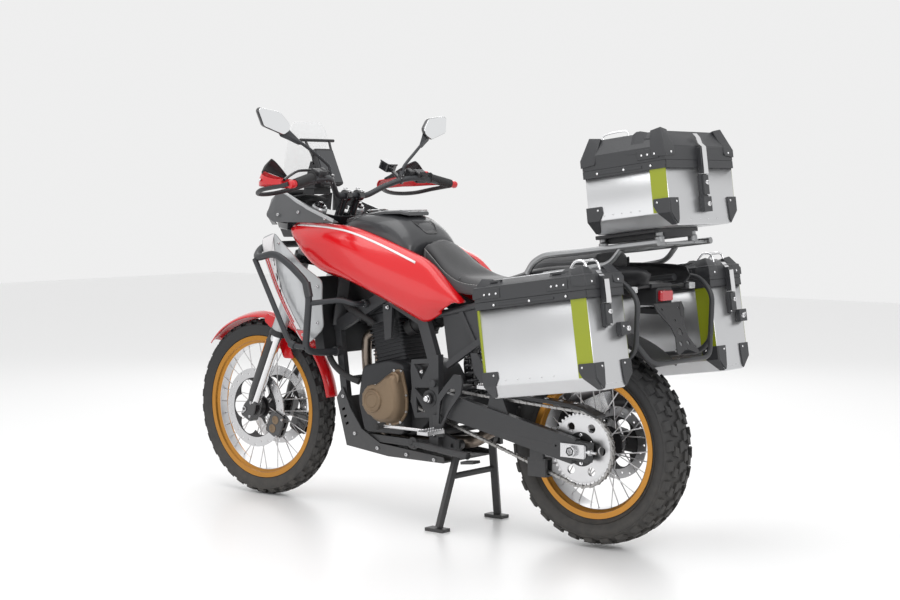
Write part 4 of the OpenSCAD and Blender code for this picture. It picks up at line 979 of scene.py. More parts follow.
def tankTop(x):
    for a, b in zip(tankSections, tankSections[1:]):
        if b[0] <= x <= a[0]:
            return b[1] + (a[1] - b[1]) * (x - b[0]) / (a[0] - b[0])
    return tankSections[-1][1]


bm = bmesh.new()
columns = list(zip(*[tankRing(*s) for s in tankSections]))
addLoft(bm, list(zip(*[smoothed(c, 4) for c in columns])))
piece("tank_cover", bm, mats["tank"], levels=1, smooth=60, stands=("fuel_tank",))
# the lid plate is black like the tank cover; the lighter grey plastic on it is a painted highlight on its
# side face
tankLid = [(338, 64, 1090), (318, 82, 1097), (236, 97, 1113), (120, 99, 1129), (60, 84, 1131),
    (36, 58, 1124)]
bm = bmesh.new()
rings = []
for x, half, z in tankLid:
    rings.append([(x, y, h) for y, h in ((-half, z - 4), (-half + 8, z), (half - 8, z), (half, z - 4),
        (half - 3, z - 14), (-half + 3, z - 14))])
addLoft(bm, rings)
piece("tank_lid_plate", bm, mats["grey"], bevel=1.5, smooth=30)
bm = bmesh.new()
addLathe(bm, (236, 0, tankTop(236) - 2), (0.06, 0, 1), [(46, 0), (46, 6), (41, 8), (40, 14), (31, 17),
    (30, 13), (0.01, 13)], 40)
piece("filler_cap", bm, mats["gloss"], smooth=28)
bm = bmesh.new()
addLathe(bm, (236, 0, tankTop(236) + 8), (0.06, 0, 1), [(12, 0), (12, 5), (9, 6), (0.01, 6)], 24)
addBlock(bm, (236, 0, tankTop(236) + 12), (40, 8, 4))
piece("filler_lock", bm, mats["chrome"], smooth=28)
for k in range(6):
    a = k * math.pi / 3
    stud("screw", "chrome", "chassis", (236 + 37 * math.cos(a), 37 * math.sin(a), tankTop(236) + 5),
        (0.06, 0, 1), 3)
bm = bmesh.new()
addLoft(bm, [[(x, y, tankTop(x) + 1 + h) for x, y in rounded([(150, -40), (150, 40), (10, 54), (-30, 34),
    (-30, -34), (10, -54)], 16)]
             for h in (0, 5)])
piece("tank_rear_cover", bm, mats["black"], bevel=2, smooth=40)

# upper side fairings, their bright top edge, and the nose
fairing = {"outline": [(262, 1084), (600, 1082), (642, 1106), (610, 1194), (556, 1190), (440, 1146)],
           "foot": 186, "head": 158, "thick": 5}


def fairingY(z):
    t = (z - 1082) / 106
    return fairing["foot"] + (fairing["head"] - fairing["foot"]) * t * t


bm = bmesh.new()
shape = rounded(fairing["outline"], 14)
addLoft(bm, [[(p[0], fairingY(p[1]) - drop, p[1]) for p in shape] for drop in (fairing["thick"], 0)])
bmesh.ops.triangulate(bm, faces=[f for f in bm.faces if len(f.verts) > 4])
addLoft(bm, [[(596, 170, 1072), (642, 172, 1106), (610, 150, 1194), (560, 150, 1190)],
             [(650, 142, 1070), (682, 140, 1106), (664, 132, 1168), (600, 130, 1192)],
             [(694, 96, 1074), (716, 92, 1108), (702, 88, 1146), (650, 90, 1176)],
             [(708, 62, 1080), (728, 60, 1112), (716, 60, 1148), (690, 60, 1166)]], capped=False,
             closedRing=False)
addMirror(bm)
bmesh.ops.solidify(bm, geom=[f for f in bm.faces if len([e for e in f.edges if e.is_boundary])],
    thickness=0.003)
piece("upper_fairing_skin", bm, mats["grey"], bevel=1.5, smooth=40,
    stands=("front_fairing",))
bm = bmesh.new()
for side in (1, -1):
    edge = smoothed([(290, 1096), (440, 1146), (556, 1190), (606, 1195)], 5)
    rings = []
    for p in edge:
        y = fairingY(p[1]) * side
        rings.append([(p[0], y + side * 2, p[1]), (p[0], y + side * 2.5, p[1] - 12),
            (p[0], y - side * 3, p[1] - 12), (p[0], y - side * 4, p[1] + 1)])
    addLoft(bm, rings)
piece("fairing_edge", bm, mats["silver"], bevel=0.8)
bm = bmesh.new()
cowl = [[(604, 0, 1186), (604, 60, 1182), (604, 120, 1168)],
    [(664, 0, 1178), (660, 54, 1174), (648, 100, 1160)],
        [(724, 0, 1156), (720, 36, 1154), (706, 70, 1146)]]
addSkin(bm, cowl, 4, 4)
addMirror(bm)
piece("nose_cowl", bm, mats["grey"], wall=3, smooth=60)
for x, z in ((330, 1098), (470, 1120), (575, 1110)):
    bothSides("screw", "steel", "chassis", (x, fairingY(z) + 0.5, z), (0, 1, 0.1), 6)

# twin lamp in the nose
bm = bmesh.new()
for side in (1, -1):
    addLoft(bm, [[(620, side * 14, 1040), (620, side * 90, 1050), (620, side * 90, 1132),
        (620, side * 14, 1140)],
                 [(690, side * 10, 1044), (684, side * 74, 1056), (684, side * 74, 1126),
                 (696, side * 10, 1136)],
                 [(722, side * 6, 1076), (716, side * 52, 1082), (716, side * 52, 1122),
                 (722, side * 6, 1130)]])
piece("lamp_shells", bm, mats["lampDark"], levels=0, bevel=4, smooth=40,
    stands=("headlight",))
bm = bmesh.new()
for side in (1, -1):
    addLathe(bm, (700, side * 34, 1102), (1, side * 0.1, 0), [(19, 0), (21, 8), (17, 15), (0.01, 19)], 24)
piece("lamp_lenses", bm, mats["clearLens"])
bm = bmesh.new()
addLoft(bm, [[(x, y, z) for x, y, z in ((620, -46, 1022), (620, 46, 1022), (700, 34, 1020),
    (700, -34, 1020))],
             [(x, y, z) for x, y, z in ((620, -60, 1044), (620, 60, 1044), (716, 44, 1066),
             (716, -44, 1066))]])
piece("lamp_chin", bm, mats["black"], bevel=4)
print("fairings ready")

# silver radiator shroud with a white nose strip and a red tip
shroud = [(560, 1044), (636, 1022), (612, 960), (430, 640), (374, 640), (304, 700), (296, 872), (404, 926),
    (526, 1014)]


def shroudY(x, z):
    # How far out the shroud bulges at a place on it
    t = min(1, max(0, (z - 640) / 400))
    across = min(1, max(0, (x - (300 + t * 200)) / 140))
    return 206 + 46 * math.sin(math.pi * (0.12 + 0.76 * t)) - 26 * abs(across - 0.45)


def panelLoft(bm, outline, lift, thick, cells=14, where=shroudY):
    # Curved panel: an outline in X and Z, filled by a grid and pushed out by a rule
    flat = bmesh.new()
    ring = [flat.verts.new((p[0], 0, p[1])) for p in outline]
    flat.faces.new(ring)
    bmesh.ops.triangulate(flat, faces=flat.faces[:])
    low = [min(p[k] for p in outline) for k in (0, 1)]
    high = [max(p[k] for p in outline) for k in (0, 1)]
    for axis, k in (((1, 0, 0), 0), ((0, 0, 1), 1)):
        for i in range(1, cells):
            at = low[k] + (high[k] - low[k]) * i / cells
            spot = (at, 0, 0) if k == 0 else (0, 0, at)
            bmesh.ops.bisect_plane(flat, geom=flat.verts[:] + flat.edges[:] + flat.faces[:], plane_co=spot,
                plane_no=axis)
    made = {}
    for v in flat.verts:
        y = where(v.co.x, v.co.z) + lift
        made[v] = (bm.verts.new((v.co.x / 1000, y / 1000, v.co.z / 1000)),
                   bm.verts.new((v.co.x / 1000, (y - thick) / 1000, v.co.z / 1000)))
    for f in flat.faces:
        bm.faces.new([made[v][0] for v in f.verts])
        bm.faces.new([made[v][1] for v in reversed(f.verts)])
    for e in flat.edges:
        if len(e.link_faces) == 1:
            a, b = e.verts
            bm.faces.new((made[a][0], made[b][0], made[b][1], made[a][1]))
    flat.free()


bm = bmesh.new()
panelLoft(bm, rounded(shroud, 22), 0, 5)
addMirror(bm)
piece("shroud_skin", bm, mats["silver"], smooth=50, stands=("radiator_shrouds",))
bm = bmesh.new()
panelLoft(bm, rounded([(556, 1040), (628, 1018), (608, 962), (450, 688), (416, 688), (556, 930),
    (566, 1000)], 8), 2.5, 2, 12)
addMirror(bm)
piece("shroud_strip", bm, mats["white"], smooth=50)
bm = bmesh.new()
panelLoft(bm, rounded([(444, 684), (424, 644), (380, 644), (400, 684)], 6), 2.5, 2, 8)
addMirror(bm)
piece("shroud_tip", bm, mats["red"], smooth=50)
bm = bmesh.new()
for line in ([(606, 962), (566, 900), (500, 780), (444, 680)],
        [(590, 958), (556, 904), (494, 792), (450, 712)]):
    panelLoft(bm, [(x, z) for x, z in line] + [(x - 4, z + 2) for x, z in reversed(line)], 5, 2, 10)
addMirror(bm)
piece("shroud_pinstripes", bm, mats["red"], smooth=50)
for x, z in ((408, 668), (330, 716), (318, 850), (530, 1004)):
    bothSides("screw", "steel", "chassis", (x, shroudY(x, z) + 0.5, z), (0, 1, 0), 6)

# radiator fins behind the front wheel
bm = bmesh.new()
turn = turnY(10)
for k in range(26):
    p = turn @ Vector((22, 0, -118 + k * 9.4))
    addBlock(bm, (394 + p.x, 0, 735 + p.z), (6, 292, 2), turn)
piece("radiator_fins", bm, mats["steel"])
print("shrouds ready")

# front fender: a smooth arch with lifted tip, and stays behind the fork
fender = {"arc": (40, 170), "radius": 373, "edge": 357, "half": 57, "rib": 5}
bm = bmesh.new()
curves = []
for across in (-1, -0.86, -0.55, 0, 0.55, 0.86, 1):
    row = []
    for k in range(14):
        a = math.radians(fender["arc"][0] + (fender["arc"][1] - fender["arc"][0]) * k / 13)
        taper = 0.55 + 0.45 * math.sin(math.pi * min(1, 0.12 + k / 9))
        lift = 10 * max(0, 1 - k / 2.5)
        r = fender["edge"] + (fender["radius"] - fender["edge"]) * (1
            - across ** 4) + fender["rib"] * (across == 0) + lift
        row.append((frontAxle[0] + r * math.cos(a), across * fender["half"] * taper,
            frontAxle[2] + r * math.sin(a)))
    curves.append(row)
addSkin(bm, curves, 4, 3)
piece("fender_skin", bm, mats["red"], "steering", wall=3, smooth=55, stands=("front_fender",))
bm = bmesh.new()
for side in (1, -1):
    addLoft(bm, [[(x, side * y, z) for x, z in rounded([(620, 552), (688, 700), (768, 722), (780, 690),
        (720, 650), (676, 552)], 10)]
                 for y in (56, 61)])
piece("fender_stays", bm, mats["red"], "steering", bevel=1.5)

# windscreen: a bowed sheet with a rounded head
screen = {"foot": 1182, "head": 1464, "half": 110, "lean": 12, "radius": 218, "wall": 4}


def screenPoint(y, z, r):
    bow = math.sqrt(max(0, r * r - y * y))
    return (466 - (z - 1140) * math.tan(math.radians(screen["lean"])) + bow, y, z)


bm = bmesh.new()
rings = []
for i in range(15):
    z = screen["foot"] + (screen["head"] - screen["foot"]) * i / 14
    half = screen["half"] * (1 if i < 10 else math.sqrt(max(0.02, 1 - ((i - 10) / 4.2) ** 2)) * 0.5
        + 0.5) * (0.82 + 0.18 * min(1, i / 6))
    rings.append([screenPoint(half * (k - 8) / 8, z, screen["radius"]) for k in range(17)])
addLoft(bm, rings, closedRing=False)
piece("screen_sheet", bm, mats["screen"], wall=screen["wall"], smooth=60,
    stands=("windscreen",))
bm = bmesh.new()
for y in (-70, 70):
    for z in (1196, 1240):
        p = screenPoint(y, z, screen["radius"] + 1)
        stud("screw", "black", "chassis", p, (1, y / 218, 0.2), 7)
addLoft(bm, [[(p[0] - 6, p[1], p[2]) for p in (screenPoint(y, z, screen["radius"] - 2) for y in range(-84,
    85, 12))] for z in (1180, 1204)],
        closedRing=False)
piece("screen_mount", bm, mats["black"], wall=5)

# dash: portrait display on a braced tower
bm = bmesh.new()
tilt = turnY(24)


def onDash(x, y, z):
    p = tilt @ Vector((x, y, z))
    return (496 + p.x, p.y, 1288 + p.z)


face = rounded([(-52, -75), (52, -75), (52, 75), (-52, 75)], 12)
addLoft(bm, [[onDash(x, p[0], p[1]) for p in face] for x in (-11, 11)])
piece("display_case", bm, mats["black"], bevel=3, stands=("dash",))
bm = bmesh.new()
glass = rounded([(-45, -66), (45, -66), (45, 66), (-45, 66)], 8)
addLoft(bm, [[onDash(x, p[0], p[1]) for p in glass] for x in (-12.4, -10.5)])
piece("display_glass", bm, mats["display"])
bm = bmesh.new()
addLoft(bm, [[(520, -46, 1186), (520, 46, 1186), (582, 46, 1186), (582, -46, 1186)],
             [(522, -40, 1260), (522, 40, 1260), (566, 40, 1260), (566, -40, 1260)],
             [(524, -36, 1312), (524, 36, 1312), (550, 36, 1312), (550, -36, 1312)]])
for side in (1, -1):
    addBent(bm, [(540, side * 30, 1296), (522, side * 52, 1330), (548, side * 66, 1392)], 5, 10)
addTube(bm, [(548, -92, 1392), (548, 92, 1392)], 6, 14)
for k in range(3):
    addBlock(bm, (536, 0, 1210 + k * 34), (60, 96, 5))
piece("display_tower", bm, mats["black"], bevel=2)
print("screen and dash ready")

# Seats
seats = {
    "riderStations": [  # x, top, bottom, half width
        (-46, 1020, 962, 80), (-70, 1012, 950, 90), (-110, 988, 925, 102), (-180, 938, 872, 116),
        (-250, 904, 842, 127),
        (-330, 890, 838, 132), (-410, 890, 845, 132), (-446, 900, 850, 130)],
    "pillionStations": [
        (-456, 900, 872, 110), (-500, 930, 874, 112), (-560, 968, 900, 113), (-620, 986, 924, 114),
        (-700, 990, 926, 114),
        (-780, 998, 938, 108), (-818, 1000, 946, 98)],
    "pressure": 3.0, "frames": 16, "stitch": 7,
}


def seatRing(x, top, low, half, crown):
    rise = top - low
    left = [(0, top + crown), (half * 0.45, top + crown * 0.8), (half * 0.8, top - rise * 0.06),
        (half * 0.96, top - rise * 0.3),
            (half, low + rise * 0.34), (half * 0.95, low + 2), (half * 0.6, low), (0, low)]
    return [(x, y, z) for y, z in left + [(-y, z) for y, z in left[-2:0:-1]]]


def seatLoft(stations, crown):
    columns = list(zip(*[seatRing(*s, crown) for s in stations]))
    bm = bmesh.new()
    addLoft(bm, list(zip(*[smoothed(c, 3) for c in columns])))
    return bm


def relaxed(bm, name, pressure, frames):
    # Sews a closed form as cloth, swells it a little with its underside held, and keeps the result
    bmesh.ops.recalc_face_normals(bm, faces=bm.faces)
    bmesh.ops.subdivide_edges(bm, edges=bm.edges[:], cuts=1, use_grid_fill=True)
    mesh = bpy.data.meshes.new(name)
    bm.to_mesh(mesh)
    bm.free()
    o = bpy.data.objects.new(name, mesh)
    bpy.context.scene.collection.objects.link(o)
    held = o.vertex_groups.new(name="held")
    mesh.update()
    held.add([v.index for v in mesh.vertices if v.normal.z < -0.25], 1.0, "REPLACE")
    cloth = o.modifiers.new("cloth", "CLOTH")
    s = cloth.settings
    s.quality, s.mass, s.tension_stiffness, s.bending_stiffness = 6, 0.4, 60, 12
    s.use_pressure, s.uniform_pressure_force = True, pressure
    s.shrink_min = 0.015
    s.vertex_group_mass = "held"
    s.effector_weights.gravity = 0
    cloth.point_cache.frame_start, cloth.point_cache.frame_end = 1, frames
    for f in range(1, frames + 1):
        bpy.context.scene.frame_set(f)
    settled = bpy.data.meshes.new_from_object(o.evaluated_get(bpy.context.evaluated_depsgraph_get()))
    o.modifiers.remove(cloth)
    bpy.context.scene.frame_set(1)
    bpy.data.objects.remove(o)
    out = bmesh.new()
    out.from_mesh(settled)
    for v in out.verts:
        v.co *= 1000
    return out


def seatPiece(name, stations, crown, node):
    bm = relaxed(seatLoft(stations, crown), name, seats["pressure"], seats["frames"])
    for v in bm.verts:
        v.co /= 1000
    o = piece(name, bm, mats["seat"], levels=1, smooth=60, stands=(node,))
    return o


seatPiece("rider_cushion", seats["riderStations"], 3, "rider_seat")
seatPiece("pillion_cushion", seats["pillionStations"], 4, "pillion_seat")

# side covers of the seats, the rider's sewn on with a white thread
bm = bmesh.new()
lines = []
for stations, share in ((seats["riderStations"][1:], 0.66), (seats["pillionStations"], 0.62)):
    for side in (1, -1):
        upper = smoothed([(x, side * (half * 0.985 + 1.8), low + (top - low) * share) for x, top, low,
            half in stations], 4)
        lower = smoothed([(x, side * (half * 0.985 + 2.2), low + 5) for x, top, low, half in stations], 4)
        middle = [(a + b) / 2 + Vector((0, side * 2.2, 0)) for a, b in zip(upper, lower)]
        addSkin(bm, [upper[::4], middle[::4], lower[::4]], 4, 3)
        lines.append([p + Vector((0, side * 1.2, 3)) for p in upper])
piece("seat_sides", bm, mats["seatSide"], wall=1.5, smooth=60)
bm = bmesh.new()
addLathe(bm, (-1.9, 0, 0), (1, 0, 0), [(0.2, 0), (0.75, 0.6), (0.75, 3.2), (0.2, 3.8)], 8)
stitch = loose("stitch", bm)
for k, line in enumerate(lines[:2]):
    mesh = bpy.data.meshes.new("seam")
    mesh.from_pydata([p / 1000 for p in line], [(i, i + 1) for i in range(len(line) - 1)], [])
    grown(f"seat_stitches_{k}", bpy.data.objects.new("seam", mesh), "path",
          {"Link": stitch, "Spacing": seats["stitch"] / 1000, "Up": (0.0, 1.0, 0.0)}, mats["thread"],
          "chassis", "seat_cover")
# piping across the rider's seat, where its two panels meet
bm = bmesh.new()
for x, top, low, half in (seats["riderStations"][4],):
    addBent(bm, [(x + 26 * math.cos(a * math.pi / 2), half * 0.93 * a,
        top - 1 + 4 * (1 - a * a) - 9 * abs(a) ** 5)
                 for a in (-1, -0.75, -0.5, -0.25, 0, 0.25, 0.5, 0.75, 1)], 1.6, 8, 3)
piece("seat_piping", bm, mats["seatSide"])
print("seats ready")

# Tyres
tyres = {
    "front": {"axle": frontAxle, "outer": 347.5, "width": 90, "rim": 281, "half": 36, "pitches": 34,
    "body": "front_wheel",
              "slot": "tyre_rubber", "node": "front_tyre", "groove": 8},
    "rear": {"axle": rearAxle, "outer": 333.5, "width": 150, "rim": 243, "half": 54, "pitches": 30,
    "body": "rear_wheel",
             "slot": "tyre_rubber", "node": "rear_tyre", "groove": 9},
}


def crown(t, y):
    # Radius of the tread's outside at a distance y from the middle
    share = min(1, abs(y) / (t["width"] / 2))
    return t["outer"] - 3 * min(1, 2 * share) ** 2 - 52 * max(0, share - 0.5) ** 1.75


for name, t in tyres.items():
    groove, w, rim, half, r = t["groove"], t["width"], t["rim"], t["half"], t["outer"]
    side = [(rim - 14.5, half - 7), (rim + 1, half - 5), (rim + 3, half + 1),
        ((r + rim) / 2 - 14, w / 2 - 3),
            ((r + rim) / 2 - 4, w / 2), ((r * 2 + rim) / 3, w / 2 - 1.5), (r - 15 - groove, w / 2 - 9),
            (r - 5 - groove, w / 4),
            (r - groove, w / 10)]
    profile = side + [(a, -b) for a, b in side[::-1]]
    bm = bmesh.new()
    addLathe(bm, t["axle"], (0, 1, 0), profile, 128, capped=False)
    for y in (1, -1):
        addLathe(bm, t["axle"], (0, y, 0), [(rim + 12, w * 0.43), (rim + 14, w * 0.446),
            (rim + 16, w * 0.43)], 128, capped=False)
        addLathe(bm, t["axle"], (0, y, 0), [((r * 1.6 + rim) / 2.6, w / 2 - 1.8),
            ((r * 1.6 + rim) / 2.6 + 2.5, w / 2 + 0.6),
                                            ((r * 1.6 + rim) / 2.6 + 5, w / 2 - 1.8)], 128, capped=False)
    piece(name + "_carcass", bm, mats["rubber"], t["body"], smooth=50, stands=(t["node"],))
    # one pitch of the tread: pairs of blocks in the middle, and shoulder blocks over the edge
    pitch = 2 * math.pi / t["pitches"]
    bm = bmesh.new()
    blocks = []
    for sign in (1, -1):
        shift = 0.25 * pitch * sign
        blocks += [((sign * w * 0.015, sign * w * 0.155), (0.06, 0.60), 0.10 * sign, shift),
                   ((sign * w * 0.185, sign * w * 0.315), (0.02, 0.50), -0.12 * sign, shift + 0.30 * pitch),
                   ((sign * w * 0.345, sign * w * 0.475), (0.04, 0.56), 0.05 * sign, shift - 0.06 * pitch)]
    for (y0, y1), (a0, a1), skew, shift in blocks:
        rings = []
        for lift, shrink in ((-groove - 1.5, 0), (-1.2, 0.03), (0, 0.07)):
            ring = []
            for u, v in ((0, 0), (0, 0.5), (0, 1), (1, 1), (1, 0.5), (1, 0)):
                uu, vv = u + shrink * (0.5 - u) * 2, v + shrink * (0.5 - v) * 2
                y = y0 + (y1 - y0) * vv
                a = shift + pitch * (a0 + (a1 - a0) * uu + skew * (vv - 0.5))
                rr = crown(t, y) + lift * (1 if lift < -2 else 1)
                ring.append((rr * math.cos(a), y, rr * math.sin(a)))
            rings.append(ring)
        addLoft(bm, rings)
    bmesh.ops.recalc_face_normals(bm, faces=bm.faces)
    mesh = bpy.data.meshes.new("pitch")
    bm.to_mesh(mesh)
    bm.free()
    grown(name + "_tread", bpy.data.objects.new("pitch", mesh), "ring",
          {"Count": t["pitches"], "Centre": tuple(c / 1000 for c in t["axle"])}, mats["rubber"], t["body"],
          t["slot"], smooth=25)
print("tyres ready")

# Wheels: disc bolts, nipples, sprocket teeth and chain
for side in (1, -1):
    for k in range(6):
        a = k * math.pi / 3
        stud("screw", "chrome", "front_wheel", (frontAxle[0] + 29 * math.cos(a), side * 68.6,
            frontAxle[2] + 29 * math.sin(a)), (0, side, 0), 4.5)
for k in range(6):
    a = k * math.pi / 3 + 0.5
    stud("screw", "chrome", "rear_wheel", (rearAxle[0] + 31 * math.cos(a), -94.4,
        rearAxle[2] + 31 * math.sin(a)), (0, -1, 0), 4.5)
    stud("nut", "chrome", "rear_wheel", (rearAxle[0] + 47 * math.cos(a), 113.2,
        rearAxle[2] + 47 * math.sin(a)), (0, 1, 0), 7)
bm = bmesh.new()
for name, t, radius in (("front", tyres["front"], 251), ("rear", tyres["rear"], 213)):
    for i in range(32):
        a = i * 2 * math.pi / 32
        y = 6 if i % 2 == 0 else -6
        body = name + "_wheel"
        stud("ring", "chrome", body, (t["axle"][0] + radius * math.cos(a), y,
            t["axle"][2] + radius * math.sin(a)),
             (-math.cos(a), 0, -math.sin(a)), 4)
bm.free()
bm = bmesh.new()
step = 2 * math.pi / 44
tooth = [(108, -0.46), (116, -0.44), (118.5, -0.24), (124.5, -0.12), (124.5, 0.12), (118.5, 0.24),
    (116, 0.44), (108, 0.46)]
addLoft(bm, [[((r - 1.2 * abs(h)) * math.cos(a * step), h * 2.8 + 109.4,
    (r - 1.2 * abs(h)) * math.sin(a * step)) for r, a in tooth]
             for h in (-1, 1)])
bmesh.ops.recalc_face_normals(bm, faces=bm.faces)
mesh = bpy.data.meshes.new("tooth")
bm.to_mesh(mesh)
bm.free()
grown("sprocket_teeth", bpy.data.objects.new("tooth", mesh), "ring",
      {"Count": 44, "Centre": tuple(c / 1000 for c in rearAxle)}, mats["steel"], "rear_wheel", "disc_steel")

chainRun = {"front": (-70, 462, 42), "rear": (rearAxle[0], rearAxle[2], 124.5), "middle": 110,
    "pitch": 15.875}
fx, fz, fr = chainRun["front"]
rx, rz, rr = chainRun["rear"]
line = math.atan2(fz - rz, fx - rx)
lean = math.asin((rr - fr) / math.hypot(fx - rx, fz - rz))
loop = [(rx + rr * math.cos(a), rz + rr * math.sin(a)) for a in
        (line + math.pi / 2 - lean + (math.pi + 2 * lean) * k / 40 for k in range(41))]
loop += [(fx + fr * math.cos(a), fz + fr * math.sin(a)) for a in
         (line - math.pi / 2 + lean + (math.pi - 2 * lean) * k / 16 for k in range(17))]
bm = bmesh.new()
p = chainRun["pitch"]
link = [(-1 * 4.6, 0), (-3.4, 3.4), (0, 4.7), (p / 2, 3.4), (p, 4.7), (p + 3.4, 3.4), (p + 4.6, 0),
    (p + 3.4, -3.4), (p, -4.7),
        (p / 2, -3.4), (0, -4.7), (-3.4, -3.4)]
for start, out in ((0, 7.2), (p, 5.2)):
    for side in (1, -1):
        addLoft(bm, [[(x + start, side * (out + t), z) for x, z in link] for t in (-0.9, 0.9)])
    addLathe(bm, (start, 0, 0), (0, 1, 0), [(3.9, -4), (3.9, 4)], 10)
for x in (0, p):
    addLathe(bm, (x, 0, 0), (0, 1, 0), [(1.9, -8), (1.9, 8)], 8)
chainLink = loose("chainLink", bm)
mesh = bpy.data.meshes.new("chainPath")
mesh.from_pydata([(x / 1000, chainRun["middle"] / 1000, z / 1000) for x, z in loop],
    [(i, (i + 1) % len(loop)) for i in range(len(loop))], [])
o = grown("chain_links", bpy.data.objects.new("chainPath", mesh), "path",
          {"Link": chainLink, "Spacing": 2 * p / 1000, "Up": (0.0, 1.0, 0.0)}, mats["chain"], "chassis",
          "chain_steel")
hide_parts("chain")
print("wheels ready")

# Fork, turned along the steering axis
up = (-math.sin(rake), 0, math.cos(rake))
fork = {
    "tubes": [(27, 716), (29, 722), (29, 1000), (28, 1004), (28, 1190), (29.5, 1194), (29.5, 1240),
    (26, 1246)],
    "seals": [(24, 698), (33, 700), (33.5, 708), (31, 716), (31, 722), (27, 724)],
    "sliders": [(22, 400), (22, 712)],
    "caps": [(22, 1244), (22, 1252), (12, 1254), (12, 1262), (0.01, 1262)],
}
for part, finish, node in (("tubes", "silver", ("fork",)), ("seals", "black", ()),
        ("sliders", "chrome", ()), ("caps", "gloss", ())):
    bm = bmesh.new()
    for y in (forkSide, -forkSide):
        addLathe(bm, steered(forkOffset, y, 0), up, fork[part], 48)
    piece("fork_" + part, bm, mats[finish], "steering", smooth=30, stands=node)


def onFork(p, y, s):
    return steered(forkOffset + p, y, s)


bm = bmesh.new()
for side in (1, -1):
    y = forkSide * side
    foot = rounded([(-28, 326), (34, 326), (36, 372), (20, 412), (-22, 412), (-30, 372)], 12)
    addLoft(bm, [[onFork(p, y + w, s) for p, s in foot] for w in (-20, 20)])
piece("fork_feet", bm, mats["gloss"], "steering", bevel=4)
bm = bmesh.new()
for side in (1, -1):
    y = forkSide * side
    rings = []
    for s, w, bulge in ((402, 22, 36), (440, 27, 40), (560, 27, 42), (660, 26, 42), (687, 18, 38)):
        rings.append([onFork(bulge * math.cos(a) * 0.98, y + w * math.sin(a), s) for a in
                      (math.radians(d) for d in range(-100, 101, 20))])
    addLoft(bm, rings, closedRing=False)
piece("fork_guards", bm, mats["frame"], "steering", wall=3, smooth=50)
bm = bmesh.new()
for side in (1, -1):
    y = forkSide * side
    rings = [[onFork(43 * math.cos(a) * 0.98, y + 28 * math.sin(a), s)
        for a in (math.radians(d) for d in range(10 * side - 40, 10 * side + 41, 16))]
             for s in (590, 625, 660)]
    addLoft(bm, rings, closedRing=False)
piece("fork_patches", bm, mats["orange"], "steering", wall=1, smooth=50)
bm = bmesh.new()
for s in (1035, 1218):
    outline = rounded([(-30, -60), (-30, 60), (18, 142), (46, 142), (64, 118), (56, 80), (22, 44),
        (22, -44), (56, -80), (64, -118),
                       (46, -142), (18, -142)], 14)
    addLoft(bm, [[steered(q[0], q[1], s + h) for q in outline] for h in (-15, 15)])
bmesh.ops.triangulate(bm, faces=[f for f in bm.faces if len(f.verts) > 4])
addLathe(bm, steered(0, 0, 0), up, [(17, 1020), (17, 1234), (22, 1236), (22, 1242), (12, 1243),
    (0.01, 1243)], 32)
piece("fork_clamps", bm, mats["gloss"], "steering", bevel=1.5)
for s in (1035, 1218):
    for side in (1, -1):
        for h in (-8, 8):
            p = steered(forkOffset + 30, side * (forkSide - 14), s + h)
            stud("screw", "steel", "steering", p, (math.cos(rake), 0, math.sin(rake)), 5)
for side in (1, -1):
    for p, s in ((-16, 346), (24, 346), (0, 398)):
        stud("screw", "steel", "steering", onFork(p, side * (forkSide + 20), s), (0, side, 0), 5.5)

# calipers on their brackets, with their bridge bolts and bronze inlay
caliper = {"turn": 205, "reach": 135, "long": 92, "deep": 78}
for side in (1, -1):
    bm = bmesh.new()
    turn = turnY(-caliper["turn"])

    def onCaliper(u, v, w):
        q = turn @ Vector((caliper["reach"] + u, 0, w))
        return (frontAxle[0] + q.x, side * (66 + v), frontAxle[2] + q.z)

    body = rounded([(-38, -44), (26, -46), (38, -30), (38, 30), (26, 46), (-38, 44)], 12)
    for v0, v1 in ((6, 17), (-17, -6)):
        addLoft(bm, [[onCaliper(u, v, w) for u, w in body] for v in (v0, v1)])
    for w in (-34, 0, 34):
        addLoft(bm, [[onCaliper(u, v, w + k) for u, k in ((24, -7), (38, -6), (38, 6), (24, 7))]
            for v in (-8, 8)])
    name = "left" if side > 0 else "right"
    piece(name + "_caliper", bm, mats["gloss"], "steering", bevel=2.5,
        stands=("front_calipers",) if side > 0 else ())
    bm = bmesh.new()
    for w in (-19, 19):
        addLathe(bm, onCaliper(-4, 16, w), (0, side, 0),
            [(17, 0), (17, 2.5), (14, 3.5), (8, 3.5), (7, 2), (0.01, 2)], 28)
    piece(name + "_caliper_pistons", bm, mats["bronze"], "steering")
    for w in (-38, 38):
        stud("screw", "steel", "steering", onCaliper(28, 17, w), (0, side, 0), 5)

# Handlebar, controls, guards and mirrors
barEnd, barRise = 432, 86


def onBar(p, y, s):
    return steered(barLow + p, y, barHigh + s)


def atEnd(p, y, s):
    return onBar(p, y, s + barRise)


barRoute = [(0, 0, -4), (0, 78, -4), (-22, 150, 48), (-58, 240, 94), (-92, barEnd, barRise)]
route = [onBar(p, -y, s) for p, y, s in barRoute[:0:-1]] + [onBar(p, y, s) for p, y, s in barRoute]
bm = bmesh.new()
addBent(bm, route, 11, 18, 8)
piece("bar_tube", bm, mats["bars"], "steering", smooth=50, stands=("handlebar",))

